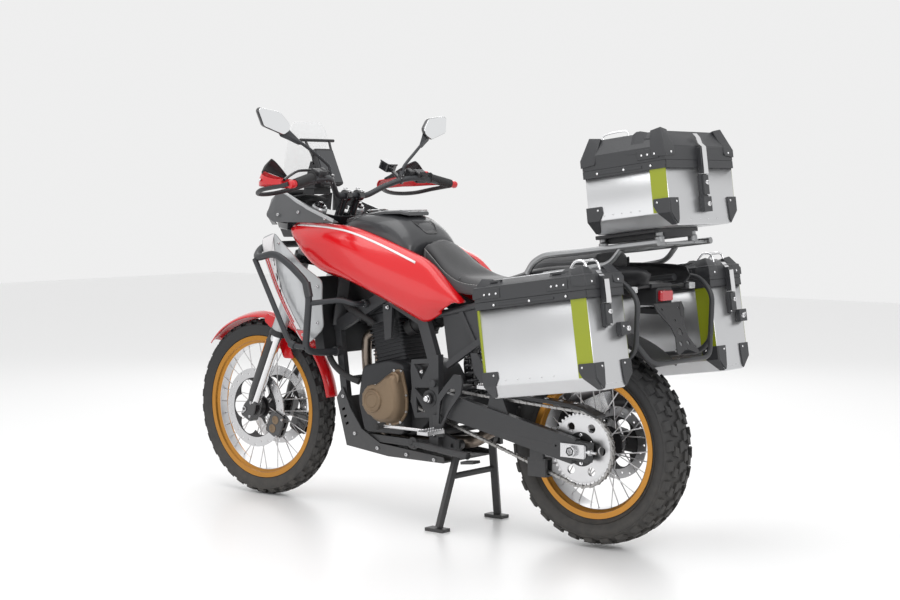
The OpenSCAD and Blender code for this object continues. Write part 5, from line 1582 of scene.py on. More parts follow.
grip = {"radius": 16.5, "ribs": 17}
bm = bmesh.new()
for side in (1, -1):
    a, b = Vector(atEnd(-92 + 26, side * (barEnd - 108), 14)), Vector(atEnd(-92, side * barEnd, 0))
    points, radii = [], []
    for k in range(grip["ribs"] * 4 + 1):
        t = k / (grip["ribs"] * 4)
        points.append(a.lerp(b, t))
        radii.append(grip["radius"] + (1.2 if k % 4 in (1, 2) else 0) + (4 if t < 0.03 else 0))
    addTube(bm, points, radii, 20)
piece("grips", bm, mats["grip"], "steering", smooth=28)
bm = bmesh.new()
for side in (1, -1):
    a, b = Vector(atEnd(-92, side * (barEnd + 1), 0)), Vector(atEnd(-96, side * (barEnd + 30), -2))
    addTube(bm, [a.lerp(b, t) for t in (0, 0.2, 0.25, 0.7, 0.95, 1)], [14, 14.5, 12, 15, 13, 6], 24)
piece("bar_ends", bm, mats["redDark"], "steering", smooth=40)
bm = bmesh.new()
for side in (1, -1):
    middle = Vector(atEnd(-92 + 40, side * (barEnd - 150), 14))
    turn = Matrix.Rotation(side * 0.16, 3, "Z") @ turnY(-25)
    addBlock(bm, middle, (44, 50, 42), turn)
    addBlock(bm, middle + Vector((-22, 0, 2)), (10, 40, 32), turn)
    addBlock(bm, middle + Vector((-28, side * 8, 10)), (8, 12, 8), turn)
    addBlock(bm, middle + Vector((-28, -side * 10, -4)), (8, 14, 7), turn)
    clamp = Vector(atEnd(-92 + 56, side * (barEnd - 192), 16))
    addBlock(bm, clamp, (34, 24, 34), turn)
    addBlock(bm, clamp + Vector((22, 0, 4)), (30, 20, 20), turn)
piece("switch_blocks", bm, mats["black"], "steering", bevel=4)
bm = bmesh.new()
addBlock(bm, Vector(atEnd(-92 + 40, 150 - barEnd, 14)) + Vector((-28, -8, 14)), (10, 14, 10), turnY(-25))
piece("stop_switch", bm, mats["redDark"], "steering", bevel=2)
bm = bmesh.new()
for side in (1, -1):
    addBent(bm, [atEnd(0, side * 264, 12), atEnd(2, side * 290, 10), atEnd(4, side * 330, 6),
        atEnd(-20, side * 390, -2),
                 atEnd(-42, side * 436, -8)], 5.2, 12, 5)
piece("levers", bm, mats["gloss"], "steering", smooth=50)
bm = bmesh.new()
cup = rounded([(-24, -27), (24, -27), (24, 27), (-24, 27)], 9)
addLoft(bm, [[onBar(50 + p, -206 + y, s) for p, y in cup] for s in (79, 109)])
addLoft(bm, [[onBar(50 + p * 1.08, -206 + y * 1.08, s) for p, y in cup] for s in (108, 114)])
addTube(bm, [onBar(-40, -206, 74), onBar(44, -206, 92)], 7, 14)
for side in (1, -1):
    addLathe(bm, onBar(4, side * 34, -92), up, [(19, 0), (16, 10), (15, 60), (19, 78)], 28)
    addLathe(bm, onBar(0, side * 34 - 13, -4), (0, 1, 0), [(20, 0), (22, 2), (22, 24), (20, 26)], 28)
    addLathe(bm, onBar(-40, side * 196, 66), up, [(13, 0), (13, 20), (9, 26), (9, 34)], 20)
piece("risers_and_cup", bm, mats["gloss"], "steering", bevel=1.5)
for side in (1, -1):
    for y in (-7, 7):
        for p in (-14, 14):
            stud("screw", "steel", "steering", onBar(p, side * 34 + y, 17), up, 4)

# hand guards: red bowl, black deflector above and black lower rail
guard = {"red": [(90, 236, -104), (93, 300, -104), (88, 372, -96), (70, 424, -86), (34, 464, -66),
    (-20, 474, -38), (-70, 472, -14)],
         "redTop": [(94, 236, -70), (97, 300, -62), (93, 366, -46), (76, 424, -28), (38, 465, -26),
         (-18, 474, -14), (-68, 472, 6)],
         "deflect": [(95, 268, -68), (97, 310, -60), (92, 372, -44), (78, 424, -28), (50, 456, -27)],
         "deflectTop": [(92, 272, -58), (89, 326, -20), (84, 384, 14), (78, 408, 15), (56, 446, -18)]}
for name, low, top, finish, stands in (("guard_bowls", "red", "redTop", "redDark", ("hand_guards",)),
                                       ("guard_deflectors", "deflect", "deflectTop", "black", ())):
    bm = bmesh.new()
    middle = [tuple((a + b) / 2 + (6 if k == 0 else 0) for k, (a, b) in enumerate(zip(p, q))) for p,
        q in zip(guard[low], guard[top])]
    for side in (1, -1):
        addSkin(bm, [[atEnd(p, side * y, s) for p, y, s in curve] for curve in (guard[low], middle,
            guard[top])], 5, 5)
    piece(name, bm, mats[finish], "steering", wall=4,
        smooth=55, stands=stands)
bm = bmesh.new()
for side in (1, -1):
    addBent(bm, [atEnd(p, side * y, s) for p, y, s in ((-30, 206, -6), (60, 232, -84), (84, 300, -116),
        (80, 372, -122), (58, 436, -108),
                                                       (10, 470, -70), (-70, 468, -18), (-92, 462, 0))], 8,
                                                       14, 5)
piece("guard_rails", bm, mats["black"], "steering", smooth=50)
for side in (1, -1):
    for p, y, s in ((98, 262, -84), (88, 398, -62), (30, 470, -44)):
        stud("screw", "steel", "steering", atEnd(p + 3, side * (y + 1), s), (0.7, side * 0.5, 0.4), 5)

mirrorShape = [(374, 1414), (407, 1398), (504, 1428), (522, 1486), (510, 1496), (408, 1482), (368, 1440)]
for side, name in ((1, "left"), (-1, "right")):
    bm = bmesh.new()
    shell = rounded(mirrorShape, 9, 4)
    cx, cz = 444, 1448

    def mirrorAt(y, z, grow, x):
        yy, zz = cx + (y - cx) * grow, cz + (z - cz) * grow
        return (338 + x + (zz - 1440) * 0.2, side * yy, zz)

    addLoft(bm, [[mirrorAt(y, z, g, x) for y, z in shell] for g,
        x in ((0.955, -12), (1.0, -9), (1.0, -3), (0.92, 6), (0.66, 13), (0.2, 16))])
    piece(name + "_mirror_shell", bm, mats["gloss"], "steering",
          smooth=40, stands=("mirrors",) if side > 0 else ())
    bm = bmesh.new()
    addLoft(bm, [[mirrorAt(y, z, g, x) for y, z in shell] for g, x in ((0.935, -13), (0.945, -12.2))])
    piece(name + "_mirror_glass", bm, mats["mirror"], nodes["mirrors"]["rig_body"], smooth=40)
bm = bmesh.new()
for side in (1, -1):
    addBent(bm, [(x, side * y, z) for x, y, z in ((291, 198, 1256), (289, 204, 1276), (291, 216, 1298),
        (306, 312, 1362),
                                                  (326, 372, 1394), (344, 412, 1424))], 6, 14, 6)
    addLathe(bm, (294, side * 198, 1248), (0.1, 0, 1), [(11, 0), (11, 12), (9, 14), (9, 24), (7, 27)], 6)
    addLoft(bm, [[(x + d * 0.4, side * (y - a), z + b) for a,
        b in rounded([(-h, -h), (h, -h), (h, h), (-h, h)], h * 0.5)]
                 for x, y, z, h, d in ((314, 338, 1374, 8, 0), (326, 370, 1396, 14, 0),
                 (336, 394, 1412, 19, 0), (344, 408, 1424, 12, 0))])
piece("mirror_stalks", bm, mats["bars"], nodes["mirrors"]["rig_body"], smooth=45)
print("front end ready")

# Crash bars and racks: the CAD routes as smooth bends
def roundedRoute(points, radius, steps=5):
    # Straight runs joined by round bends
    pts = [Vector(p) for p in points]
    out = [pts[0]]
    for a, p, b in zip(pts, pts[1:], pts[2:]):
        r = min(radius, (a - p).length * 0.46, (b - p).length * 0.46)
        start, end = p + (a - p).normalized() * r, p + (b - p).normalized() * r
        out += [start * (1 - t) ** 2 + p * 2 * t * (1 - t) + end * t * t
            for t in (k / steps for k in range(steps + 1))]
    return out + [pts[-1]]


def mirrored(points):
    return [(x, -y, z) for x, y, z in points]


crashPath = [(655, 120, 994), (643, 206, 989), (598, 286, 946), (480, 300, 972), (400, 300, 930),
    (318, 300, 868),
             (304, 300, 815), (330, 294, 618), (316, 220, 606), (316, 141, 606)]
braces = [[(597, 287, 946), (404, 297, 634), (327, 295, 630)],
    [(307, 299, 792), (210, 230, 806), (170, 200, 790), (170, 147, 790)]]
bm = bmesh.new()
addTube(bm, roundedRoute(mirrored(crashPath)[::-1] + crashPath, 48), 13, 18)
for brace in braces:
    for run in (brace, mirrored(brace)):
        addTube(bm, roundedRoute(run, 40), 10, 16)
piece("crash_tubes", bm, mats["bars"], smooth=50, stands=("crash_bars",))
bm = bmesh.new()
for side in (1, -1):
    for a, b, r in (((318, 300, 868), (304, 300, 815), 15.5), ((404, 297, 640), (380, 297, 632), 14)):
        addTube(bm, [(a[0], side * a[1], a[2]), (b[0], side * b[1], b[2])], r, 20)
    addTube(bm, [(316, side * 134, 606), (316, side * 152, 606)], 18, 24)
    addTube(bm, [(170, side * 140, 790), (170, side * 156, 790)], 16, 24)
piece("crash_clamps", bm, mats["frame"], bevel=1)
for x, z in ((316, 606), (170, 790)):
    bothSides("nut", "steel", "chassis", (x, 156, z), (0, 1, 0), 11)


def railZ(x):
    return 858 - (x + 560) * 0.1318


bm = bmesh.new()
for side in (1, -1):
    upper = [(-584, side * 164, 926), (-612, side * 170, 962), (-660, side * 172, 988),
        (-800, side * 168, 1002), (-1100, side * 160, 1039)]
    lower = [(-660, side * 172, 924), (-800, side * 172, 944), (-920, side * 168, 966),
        (-960, side * 166, 1014)]
    addTube(bm, roundedRoute(upper, 40), 11, 16)
    addTube(bm, roundedRoute(lower, 36), 9, 16)
piece("grab_rails", bm, mats["rack"], smooth=50)
bm = bmesh.new()
deck = turnY(7)


def onDeck(x, y, z):
    p = deck @ Vector((x, y, z))
    return (-830 + p.x, y, 1000 + p.z)


for y in (-156, -86, 86, 156):
    addLoft(bm, [[onDeck(x, y + w, z) for x, z in rounded([(0, -1), (0, 7), (-262, 7), (-262, -1)], 3)]
        for w in (-9, 9)])
for x in (-20, -92, -168, -246):
    addLoft(bm, [[onDeck(x + w, y, z) for w, z in rounded([(-13, -1), (-13, 8), (13, 8), (13, -1)], 3)]
        for y in (-160, 160)])
for x in (-240, -22):
    for y in (-100, 100):
        addLathe(bm, onDeck(x, y, 6), deck @ Vector((0, 0, 1)), [(16, 0), (16, 20), (12, 24), (12, 40)], 24)
piece("rack_deck", bm, mats["rack"], bevel=1.5)
o = bpy.data.objects["rack_deck"]
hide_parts("luggage_rack")
bm = bmesh.new()
for low, high, halfWide in ((24, 42, 92), (40, 52.5, 128)):
    addLoft(bm, [[onDeck(x, y, z) for x, y in rounded([(-252, -halfWide), (-6, -halfWide), (-6, halfWide),
        (-252, halfWide)], 14)]
                 for z in (low, high)])
piece("case_base", bm, mats["black"], bevel=1.5)
for x in (-240, -168, -92, -22):
    for y in (-124, 124):
        stud("screw", "steel", "chassis", onDeck(x, y, 8), tuple(deck @ Vector((0, 0, 1))), 5)
bm = bmesh.new()
for side in (1, -1):
    ring = [(-800, 226, railZ(-800)), (-1010, 226, railZ(-1010)), (-1068, 226, 860), (-1062, 226, 700),
        (-1024, 226, 662),
            (-690, 226, 612), (-640, 226, 650), (-640, 226, railZ(-640)), (-800, 226, railZ(-800))]
    addTube(bm, roundedRoute([(x, y * side, z) for x, y, z in ring], 34), 9, 16)
    for x in (-690, -950):
        addTube(bm, [(x, side * 130, railZ(x)), (x, side * 226, railZ(x))], 8, 14)
        addBlock(bm, (x, side * 129, railZ(x)), (30, 5, 30))
    for x in (-740, -930):
        for z in (railZ(x), 612 - (x + 690) * 0.153):
            addTube(bm, [(x, side * 226, z), (x, side * 262, z)], 7, 14)
            addTube(bm, [(x, side * 252, z), (x, side * 263, z)], 14, 20)
addTube(bm, roundedRoute([(-1062, 226, 720), (-1092, 176, 650), (-1092, -176, 650), (-1062, -226, 720)],
    40), 8, 16)
piece("case_carrier", bm, mats["frame"], smooth=45, stands=("pannier_rack",))
print("bars and racks ready")

# Engine: casing, finned barrels, covers and hoses
bm = bmesh.new()
case = rounded([(190, 560), (212, 430), (180, 318), (-30, 314), (-104, 380), (-106, 500), (-60, 575),
    (60, 590)], 26)
addLoft(bm, [[(x * g + (1 - g) * 50, y, z * g + (1 - g) * 450) for x, z in case] for y, g in
             ((-128, 0.9), (-112, 1.0), (-60, 1.0), (60, 1.0), (90, 1.0), (96, 0.97))])
addLoft(bm, [[(x * g + (1 - g) * 60, y, z * g + (1 - g) * 450) for x, z in
              rounded([(190, 560), (212, 430), (180, 318), (-12, 322), (-12, 575), (60, 590)], 24)] for y,
              g in ((90, 1.0), (136, 1.0), (142, 0.96))])
for k in range(9):
    x = 176 - k * 20
    addBlock(bm, (x, 100, 338), (5, 84, 26))
piece("crankcase", bm, mats["engine"], bevel=2.5, smooth=40, stands=("engine",))
bm = bmesh.new()
lean = turnY(14)


def onBarrel(x, y, z):
    p = lean @ Vector((x, y, z))
    return (100 + p.x, p.y, 560 + p.z)


for k in range(11):
    z = 12 + k * 13.5
    grow = 3 if k % 2 else 0
    addLoft(bm, [[onBarrel(q[0], q[1], z + h) for q in rounded([(-88 - grow, -93), (70 + grow, -93),
        (70 + grow, 93), (-88 - grow, 93)], 16)]
                 for h in (0, 5)])
addLoft(bm, [[onBarrel(q[0], q[1], z) for q in rounded([(-80, -86), (62, -86), (62, 86), (-80, 86)], 14)]
    for z in (0, 166)])
head = rounded([(-92, -98), (76, -98), (76, 98), (-92, 98)], 22)
addLoft(bm, [[onBarrel(q[0] * g, q[1] * g, z) for q in head] for z,
    g in ((163, 0.97), (168, 1), (196, 1), (200, 0.97), (204, 1), (224, 0.98), (232, 0.86))])
for y in (-48, 48):
    addLathe(bm, onBarrel(-20, y, 232), lean @ Vector((0, 0, 1)), [(24, -10), (24, 3), (20, 5), (0.01, 5)],
        28)
piece("cylinders", bm, mats["engine"], bevel=1.2)
for x in (-78, -20, 60):
    for y in (-86, 86):
        stud("screw", "steel", "chassis", onBarrel(x, y, 224), tuple(lean @ Vector((0, 0, 1))), 6)
bm = bmesh.new()
for y in (48, -48):
    q = [onBarrel(-90, y, 120), onBarrel(-130, y, 128), onBarrel(-158, y, 138), onBarrel(-186, y, 150)]
    addTube(bm, q, [30, 28, 28, 26], 28)
    addTube(bm, [onBarrel(-118, y, 125), onBarrel(-126, y, 127)], 33, 28)
    addTube(bm, [onBarrel(-150, y, 135), onBarrel(-158, y, 138)], 33, 28)
addBent(bm, [(300, 126, 800), (250, 140, 770), (190, 132, 742), (158, 110, 716)], 13, 16, 5)
addBent(bm, [(380, 132, 620), (330, 146, 560), (262, 150, 520), (206, 138, 500)], 12, 16, 5)
addBent(bm, [(380, -132, 620), (330, -146, 560), (262, -150, 520), (206, -138, 500)], 12, 16, 5)
piece("intakes_and_pipes", bm, mats["grip"], smooth=50)

coverLine = [(115, 497), (58, 530), (20, 560), (-14, 560), (-38, 470), (-38, 408), (-10, 366), (41, 352),
    (97, 358), (142, 410), (146, 452)]
for name, side, base, deep in (("left", 1, 143, 60), ("right", -1, 143, 55)):
    bm = bmesh.new()
    line = rounded(coverLine, 22, 5)
    mid = (50, 450)
    rings = [[(mid[0] + (x - mid[0]) * g, side * (base + d), mid[1] + (z - mid[1]) * g) for x, z in line]
             for d, g in ((0, 1.0), (9, 1.0), (10, 0.93), (deep * 0.5, 0.90), (deep * 0.8, 0.82),
             (deep - 3, 0.72), (deep, 0.5), (deep, 0.1))]
    addLoft(bm, rings)
    boss = (84, side * (base + deep - 8), 445) if side > 0 else (60, side * (base + deep - 8), 444)
    addLathe(bm, boss, (0, side, 0), [(58, -6), (58, 0), (52, 4), (44, 4), (43, 8), (40, 14), (36, 15),
        (34, 11), (24, 11), (23, 14), (0.01, 14)], 56)
    addLathe(bm, (4, side * (base + deep * 0.5), 530), (0, side, 0),
        [(24, -6), (24, 4), (20, 8), (12, 8), (10, 5), (0.01, 5)], 32)
    for k in range(9):
        a = math.radians(20 + k * 40)
        addBlock(bm, (boss[0] + 50 * math.cos(a), boss[1] - side * 4, boss[2] + 50 * math.sin(a)),
            (18, 12, 7), turnY(-math.degrees(a)))
    piece(name + "_engine_cover", bm, mats["bronze"], bevel=1.5, smooth=34,
        stands=("engine_covers",) if side > 0 else ())
    for x, z in coverLine:
        stud("screw", "steel", "chassis", (mid[0] + (x - mid[0]) * 0.955, side * (base + 9),
            mid[1] + (z - mid[1]) * 0.955), (0, side, 0), 5)
print("engine ready")

# Skid plate, exhaust
softened("skid_plate", mats["skid"], 2.0)
bm = bmesh.new()
for y0, y1 in ((-118, -44), (-34, 34), (44, 118)):
    addPlate(bm, ((270, 262), (318, 424), (322, 424), (274, 260)), y0, y1)
piece("skid_ribs", bm, mats["sheetDark"], bevel=1.5)
for x, z in ((-150, 246), (-20, 252), (120, 262), (232, 306), (290, 440)):
    bothSides("screw", "steel", "chassis", (x, 133, z), (0, 1, 0), 7)

bm = bmesh.new()
for s in (0, 1):
    addTube(bm, roundedRoute([(222, -40 + 80 * s, 676), (256, -40 + 80 * s, 658), (262, -36 + 74 * s, 600),
        (250, -30 + 64 * s, 420),
                              (214, -20 + 50 * s, 310), (160, -14 + 38 * s, 286)], 70), 19, 20)
addTube(bm, roundedRoute([(190, 5, 288), (-60, 0, 288), (-222, -14, 300), (-262, -60, 345),
    (-366, -200, 352), (-414, -214, 390)], 60), 23, 22)
piece("header_pipes", bm, mats["exhaust"], smooth=50, stands=("exhaust",))
bm = bmesh.new()
line = [Vector((-388, -214, 396)), Vector((-430, -214, 406)), Vector((-470, -218, 416)),
    Vector((-780, -218, 494)), Vector((-806, -218, 500)), Vector((-822, -218, 504))]
addTube(bm, line, [26, 34, 54, 55, 50, 44], 36)
piece("silencer", bm, mats["muffler"], smooth=30)
bm = bmesh.new()
axis = (line[-1] - line[3]).normalized()
addLathe(bm, line[-1] - axis * 6, axis, [(45, -8), (47, -4), (47, 4), (40, 9), (26, 10), (25, 24), (22, 24),
    (22, -60), (0.01, -60)], 40)
for d in (20, 300):
    addLathe(bm, line[2] + axis * d, axis, [(55, 0), (57, 1), (57, 15), (55, 16)], 40)
piece("silencer_cap", bm, mats["gloss"], smooth=30)
bm = bmesh.new()
addPlate(bm, rounded([(-500, 486), (-740, 546), (-752, 520), (-700, 470), (-520, 428)], 22), -278, -272)
piece("heat_shield", bm, mats["black"], bevel=2)
for x, z in ((-530, 470), (-716, 520)):
    stud("screw", "steel", "chassis", (x, -278, z), (0, -1, 0), 6)
print("exhaust ready")

# Frame, swingarm, axles
softened("main_frame", mats["frame"], 2.2)
softened("swingarm", mats["frame"], 2.5)
for x, y, z, r in ((-147.5, 166, 467, 15), (-166, 157, 344, 10), (304, 113, 500, 9), (170, 148, 790, 9),
        (-110, 155, 560, 7), (70, 134, 780, 8)):
    bothSides("ring", "black", "chassis", (x, y, z), (0, 1, 0), r * 1.35)
    bothSides("nut", "chrome", "chassis", (x, y + 1, z), (0, 1, 0), r)
bm = bmesh.new()
for side in (1, -1):
    y = side * 158
    addLoft(bm, [[(rearAxle[0] + x, y + side * d, rearAxle[2] + z) for x,
        z in rounded([(-52, -22), (34, -22), (48, 0), (34, 22), (-52, 22)], 8)] for d in (0, 4)])
    addTube(bm, [(rearAxle[0] - 46, y, rearAxle[2]), (rearAxle[0] - 92, y, rearAxle[2])], 5, 12)
    addTube(bm, [(rearAxle[0] - 62, y, rearAxle[2]), (rearAxle[0] - 72, y, rearAxle[2])], 11, 6)
    addLathe(bm, (rearAxle[0], side * 160, rearAxle[2]), (0, side, 0),
        [(24, 0), (24, 4), (20, 5), (20, 18), (17, 20), (10, 20), (9, 10), (0.01, 10)], 6 if side > 0
        else 24)
for k in range(7):
    for side in (1, -1):
        addBlock(bm, (rearAxle[0] - 30 + k * 10, side * 162.6, rearAxle[2] + 18), (1.6, 1.4, 6))
piece("axle_adjusters", bm, mats["steel"], bevel=1)
bm = bmesh.new()
addLoft(bm, [[(x, y, z) for x, z in smoothed([(-396, 500), (-480, 511), (-560, 506), (-700, 500),
    (-790, 490), (-862, 464)], 4)
              + smoothed([(-858, 458), (-790, 483), (-700, 492), (-560, 498), (-480, 503), (-396, 494)],
              4)] for y in (100, 154)])
piece("chain_guard", bm, mats["black"], bevel=2)
for k in range(6):
    stud("ring", "steel", "chassis", (-460 - k * 60, 128, 512 - k * 3.2), (0, 0, 1), 9)
bm = bmesh.new()
top, foot = Vector((-216, 0, 672)), Vector((-236, 0, 494))
along = (foot - top).normalized()
across = along.orthogonal().normalized()
other = along.cross(across)
turns = 6.5
addTube(bm, [top + along * ((foot - top).length * k / 130)
    + (across * math.cos(k / 130 * turns * 2 * math.pi) + other * math.sin(k / 130 * turns * 2 * math.pi))
    * 31
             for k in range(131)], 6, 10)
piece("spring_coil", bm, mats["spring"], smooth=50, stands=("rear_shock",))
bm = bmesh.new()
addLathe(bm, (-210, 0, 716), along, [(14, 0), (18, 4), (22, 30), (24, 44), (37, 46), (37, 52), (24, 54),
    (24, 150), (12, 152), (12, 224), (36, 226), (36, 232), (18, 236), (16, 300), (16, 314)], 32)
addTube(bm, [(-176, -70, 700), (-232, -70, 690)], 20, 28)
addTube(bm, [(-216, -10, 700), (-216, -62, 696)], 9, 14)
piece("shock_body", bm, mats["gloss"], smooth=35)
print("chassis ready")

# Foot rests and levers
bm = bmesh.new()
for side in (1, -1):
    outer = [(-190, 350), (-196, 430), (-200, 484), (-236, 524), (-272, 562), (-304, 562), (-312, 540),
        (-304, 496), (-252, 432), (-206, 350)]
    inner = [(-204, 384), (-208, 432), (-211, 462), (-234, 490), (-254, 510), (-276, 512), (-280, 504),
        (-276, 492), (-244, 438), (-216, 384)]
    for y0, y1, ring in ((170, 176, inner), (168, 171, [(x * 0.5 + u * 0.5, z * 0.5 + w * 0.5) for (x, z),
            (u, w) in zip(outer, inner)])):
        rings = [[(x, side * y, z) for x, z in edge] for y,
            edge in ((y0, outer), (y1, outer), (y1, ring), (y0, ring))]
        addLoft(bm, rings + rings[:1], capped=False)
    addLathe(bm, (-176, side * 166, 524), (0, side, 0), [(14, 0), (14, 12), (10, 14), (0.01, 14)], 20)
    addLoft(bm, [[(x, side * y, z) for x, z in rounded([(-206, 414), (-166, 414), (-184, 336), (-220, 336)],
        8)] for y in (156, 168)])
    addPlate(bm, rounded([(-327, 640), (-358, 640), (-396, 584), (-448, 562), (-486, 500), (-438, 486),
        (-384, 524), (-344, 570)], 7), side * 144, side * 152)
piece("heel_guards", bm, mats["frame"], bevel=1.5, stands=("foot_pegs",))
bm = bmesh.new()
for side in (1, -1):
    for x0, y0, z0, long, wide in ((-204, 172, 352, 92, 48), (-439, 152, 528, 76, 42)):
        for e in (-wide / 2, wide / 2 - 5):
            addLoft(bm, [[(x0 + e + x, side * y, z) for x,
                z in ((0, z0), (5, z0), (5, z0 + 13), (0, z0 + 13))] for y in (y0, y0 + long)])
            for k in range(7):
                y = side * (y0 + 6 + k * (long - 14) / 6)
                addLoft(bm, [[(x0 + e + x, y - 3, z0 + 13) for x in (0, 5)] + [(x0 + e + x, y + 3, z0 + 13)
                    for x in (5, 0)],
                             [(x0 + e + x, y - 0.8, z0 + 18) for x in (0.5, 4.5)]
                             + [(x0 + e + x, y + 0.8, z0 + 18) for x in (4.5, 0.5)]])
        for k in range(4):
            y = side * (y0 + k * (long - 6) / 3)
            addLoft(bm, [[(x0 + x, yy, z) for x, z in ((-wide / 2, z0), (wide / 2, z0), (wide / 2, z0 + 12),
                (-wide / 2, z0 + 12))] for yy in (y, y + side * 5)])
piece("peg_treads", bm, mats["steel"], bevel=0.6)
bm = bmesh.new()
addBent(bm, [(-170, 172, 352), (-110, 200, 358), (-40, 220, 362), (20, 222, 362)], 6, 14, 5)
addBent(bm, [(-170, -172, 334), (-110, -196, 330), (-40, -212, 327), (20, -216, 330)], 6, 14, 5)
addLathe(bm, (-170, 166, 352), (0, 1, 0), [(13, -8), (13, 10), (9, 12), (0.01, 12)], 24)
addLathe(bm, (-170, -166, 334), (0, -1, 0), [(13, -8), (13, 10), (9, 12), (0.01, 12)], 24)
addLoft(bm, [[(x, y, z) for x, y in rounded([(8, -256), (48, -256), (48, -200), (8, -200)], 8)]
    for z in (326, 334)])
piece("levers_at_the_feet", bm, mats["steel"], bevel=0.8, smooth=45)
bm = bmesh.new()
addLathe(bm, (20, 206, 362), (0, 1, 0), [(9, 0), (11, 3), (11, 52), (9, 56), (0.01, 56)], 20)
for k in range(6):
    addLathe(bm, (20, 214 + k * 8, 362), (0, 1, 0), [(11, 0), (12.4, 1), (12.4, 3), (11, 4)], 20)
piece("gear_toe_rubber", bm, mats["grip"])
print("foot rests ready")

# Tail
bm = bmesh.new()
curves = [[(-470, 134, 904), (-620, 136, 944), (-800, 136, 958), (-1000, 128, 956), (-1044, 112, 936)],
          [(-470, 152, 890), (-620, 156, 930), (-800, 154, 944), (-1000, 142, 942), (-1046, 120, 926)],
          [(-474, 154, 866), (-630, 158, 892), (-800, 154, 912), (-960, 144, 920), (-1040, 122, 912)],
          [(-470, 136, 846), (-640, 138, 852), (-800, 136, 868), (-930, 132, 890), (-1036, 112, 900)]]
addSkin(bm, curves, 5, 4)
addMirror(bm)
piece("tail_skin", bm, mats["black"], wall=3, smooth=50, stands=("tail_fairing",))
bm = bmesh.new()
rings = []
for k in range(13):
    a = math.radians(72 + 60 * k / 12)
    row = []
    for y in (-72, -66, -40, 0, 40, 66, 72):
        r = 391 - (10 if abs(y) == 72 else 0) - (y / 72) ** 2 * 2
        row.append((rearAxle[0] + r * math.cos(a), y, rearAxle[2] + r * math.sin(a)))
    rings.append(row)
addLoft(bm, rings, closedRing=False)
piece("rear_mudguard", bm, mats["black"], wall=3, smooth=50)
bm = bmesh.new()
plateTurn = turnY(-63)


def circle(x, y, r, points=20):
    return [(x + r * math.cos(k * 2 * math.pi / points), y + r * math.sin(k * 2 * math.pi / points))
        for k in range(points)]


def addPierced(bm, loops, where, low, high):
    fresh = []
    for loop in loops:
        points = [bm.verts.new(where(x, y, low) / 1000) for x, y in loop]
        fresh += [bm.edges.new((points[k - 1], points[k])) for k in range(len(points))]
    filled = bmesh.ops.triangle_fill(bm, use_beauty=True, edges=fresh)["geom"]
    grown = bmesh.ops.extrude_face_region(bm, geom=[g for g in filled if isinstance(g,
        bmesh.types.BMFace)])["geom"]
    step = (where(0, 0, high) - where(0, 0, low)) / 1000
    for g in grown:
        if isinstance(g, bmesh.types.BMVert):
            g.co += step


def onPlate(x, y, z):
    p = plateTurn @ Vector((x, y, z))
    return Vector((-1036 + p.x, y, 838 + p.z))


half = [(0, 84), (-26, 84), (-84, 40), (-122, 38), (-176, 66), (-184, 58), (-164, 0)]
edge = half + [(x, -y) for x, y in half[-2::-1]]
holes = [circle(-104, 0, 13), circle(-146, 22, 8), circle(-146, -22, 8), circle(-64, 0, 4),
    circle(-22, 50, 4), circle(-22, -50, 4)]
addPierced(bm, [edge] + holes, onPlate, -4, 0)
for y in (-84, 84):
    addLoft(bm, [[onPlate(x, y * s, z) for x, s in ((-4, 1), (-56, 0.6), (-48, 0.5), (-4, 0.8))]
        for z in (-4, 1)])
addPlate(bm, ((-950, 800), (-1038, 800), (-1044, 816), (-950, 820)), -40, 40)
piece("plate_carrier", bm, mats["black"], bevel=1)
for x, y in ((-10, 68), (-10, -68), (-166, 54), (-166, -54)):
    p = onPlate(x, y, -4)
    stud("screw", "steel", "chassis", p, tuple(plateTurn @ Vector((0, 0, -1))), 6)
bm = bmesh.new()
lens = rounded([(-36, 842), (36, 842), (36, 878), (-36, 878)], 7)
addLoft(bm, [[(x, y * g, 860 + (z - 860) * g) for y, z in lens] for x,
    g in ((-1012, 1), (-1030, 1), (-1036, 0.86))])
piece("stop_lamp", bm, mats["redLens"], bevel=1, stands=("tail_light",))
bm = bmesh.new()
house = rounded([(-46, 830), (46, 830), (46, 886), (-46, 886)], 10)
addLoft(bm, [[(x, y * g, 858 + (z - 858) * g) for y, z in house] for x,
    g in ((-950, 1.1), (-1006, 1.06), (-1022, 1.0))])
for side in (1, -1):
    addBent(bm, [(-1000, side * 58, 892), (-1000, side * 104, 891), (-1000, side * 152, 887)], 6, 12, 3)
    shell = rounded([(-19, -13), (19, -13), (19, 13), (-19, 13)], 9)
    addLoft(bm, [[(-1000 + x * g, side * y, 886 + z * g) for x, z in shell] for y,
        g in ((149, 0.5), (156, 0.92), (192, 1), (195, 0.9))])
addLoft(bm, [[(-960, y, 884), (-960, y, 904), (-1012, y, 900), (-1012, y, 886)] for y in (-60, 60)])
piece("lamp_housings", bm, mats["black"], bevel=1.5)
bm = bmesh.new()
for side in (1, -1):
    shell = rounded([(-15, 158), (15, 158), (15, 190), (-15, 190)], 6)
    addLoft(bm, [[(-1018 - d, side * (174 + (y - 174) * g), 886 + z * 0.7 * g) for z, y in shell] for d,
        g in ((0, 1), (5, 0.94), (7, 0.7))])
piece("indicator_lenses", bm, mats["clearLens"])
softened("subframe", mats["frame"], 1.0, smooth=50)
print("tail ready")

# Stands
softened("centre_stand", mats["frame"], 1.6)
softened("side_stand", mats["frame"], 1.6)
placeStuds()

# Floor, light and camera
studio = {"floor": (0.90, 0.90, 0.90), "key": 85, "fill": 28, "top": 70, "back": 40, "world": 0.86}


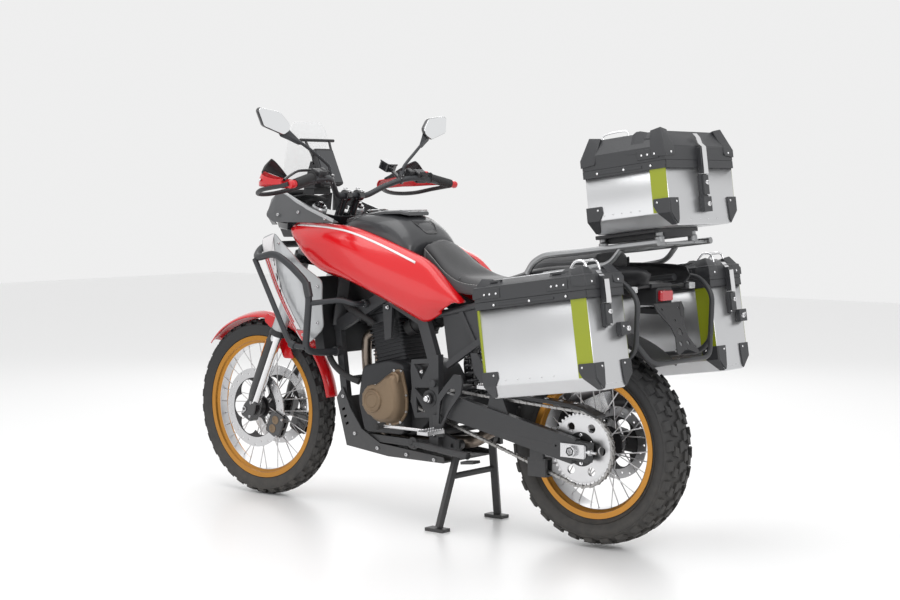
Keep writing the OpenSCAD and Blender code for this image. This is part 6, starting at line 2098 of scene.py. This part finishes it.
def paleFloor():
    bm = bmesh.new()
    rows = [[(x, y * 12000, z) for x, z in ((-14000, 0), (14000, 0))] for y in (-1, 1)]
    addLoft(bm, rows, capped=False, closedRing=False)
    mesh = bpy.data.meshes.new("floor")
    bm.to_mesh(mesh)
    bm.free()
    o = bpy.data.objects.new("floor", mesh)
    bpy.context.scene.collection.objects.link(o)
    m = bpy.data.materials.new("paleFloor")
    m.use_nodes = True
    shader = m.node_tree.nodes["Principled BSDF"]
    shader.inputs["Base Color"].default_value = studio["floor"] + (1,)
    shader.inputs["Roughness"].default_value = 0.35
    mesh.materials.append(m)


def softLight(name, place, target, size, watts):
    light = bpy.data.lights.new(name, "AREA")
    light.energy = watts
    light.size = size
    o = bpy.data.objects.new(name, light)
    o.location = place
    o.rotation_mode = "QUATERNION"
    o.rotation_quaternion = (Vector(target) - Vector(place)).to_track_quat("-Z", "Y")
    bpy.context.scene.collection.objects.link(o)


paleFloor()
softLight("key", (-4.2, 2.2, 3.6), (-0.2, 0, 0.7), 3.0, studio["key"])
softLight("fill", (1.5, 5.2, 1.8), (0.1, 0, 0.7), 3.5, studio["fill"])
softLight("top", (0.2, 0.6, 4.4), (0, 0, 0.6), 3.2, studio["top"])
softLight("back", (2.8, -3.8, 2.8), (0, 0, 0.7), 3.0, studio["back"])
world = bpy.data.worlds.new("studio")
world.use_nodes = True
world.node_tree.nodes["Background"].inputs["Color"].default_value = (1, 1, 1, 1)
world.node_tree.nodes["Background"].inputs["Strength"].default_value = studio["world"]
bpy.context.scene.world = world
bpy.context.scene.view_settings.view_transform = "Standard"

camera = bpy.data.objects.new("camera", bpy.data.cameras.new("camera"))
camera.data.lens = 69.69
camera.location = (-4.1055, 4.8438, 1.2214)
look = Vector((math.cos(math.radians(-50.494)), math.sin(math.radians(-50.494)),
    math.tan(math.radians(-3.775))))
camera.rotation_mode = "QUATERNION"
camera.rotation_quaternion = look.to_track_quat("-Z", "Y")
bpy.context.scene.collection.objects.link(camera)
bpy.context.scene.camera = camera
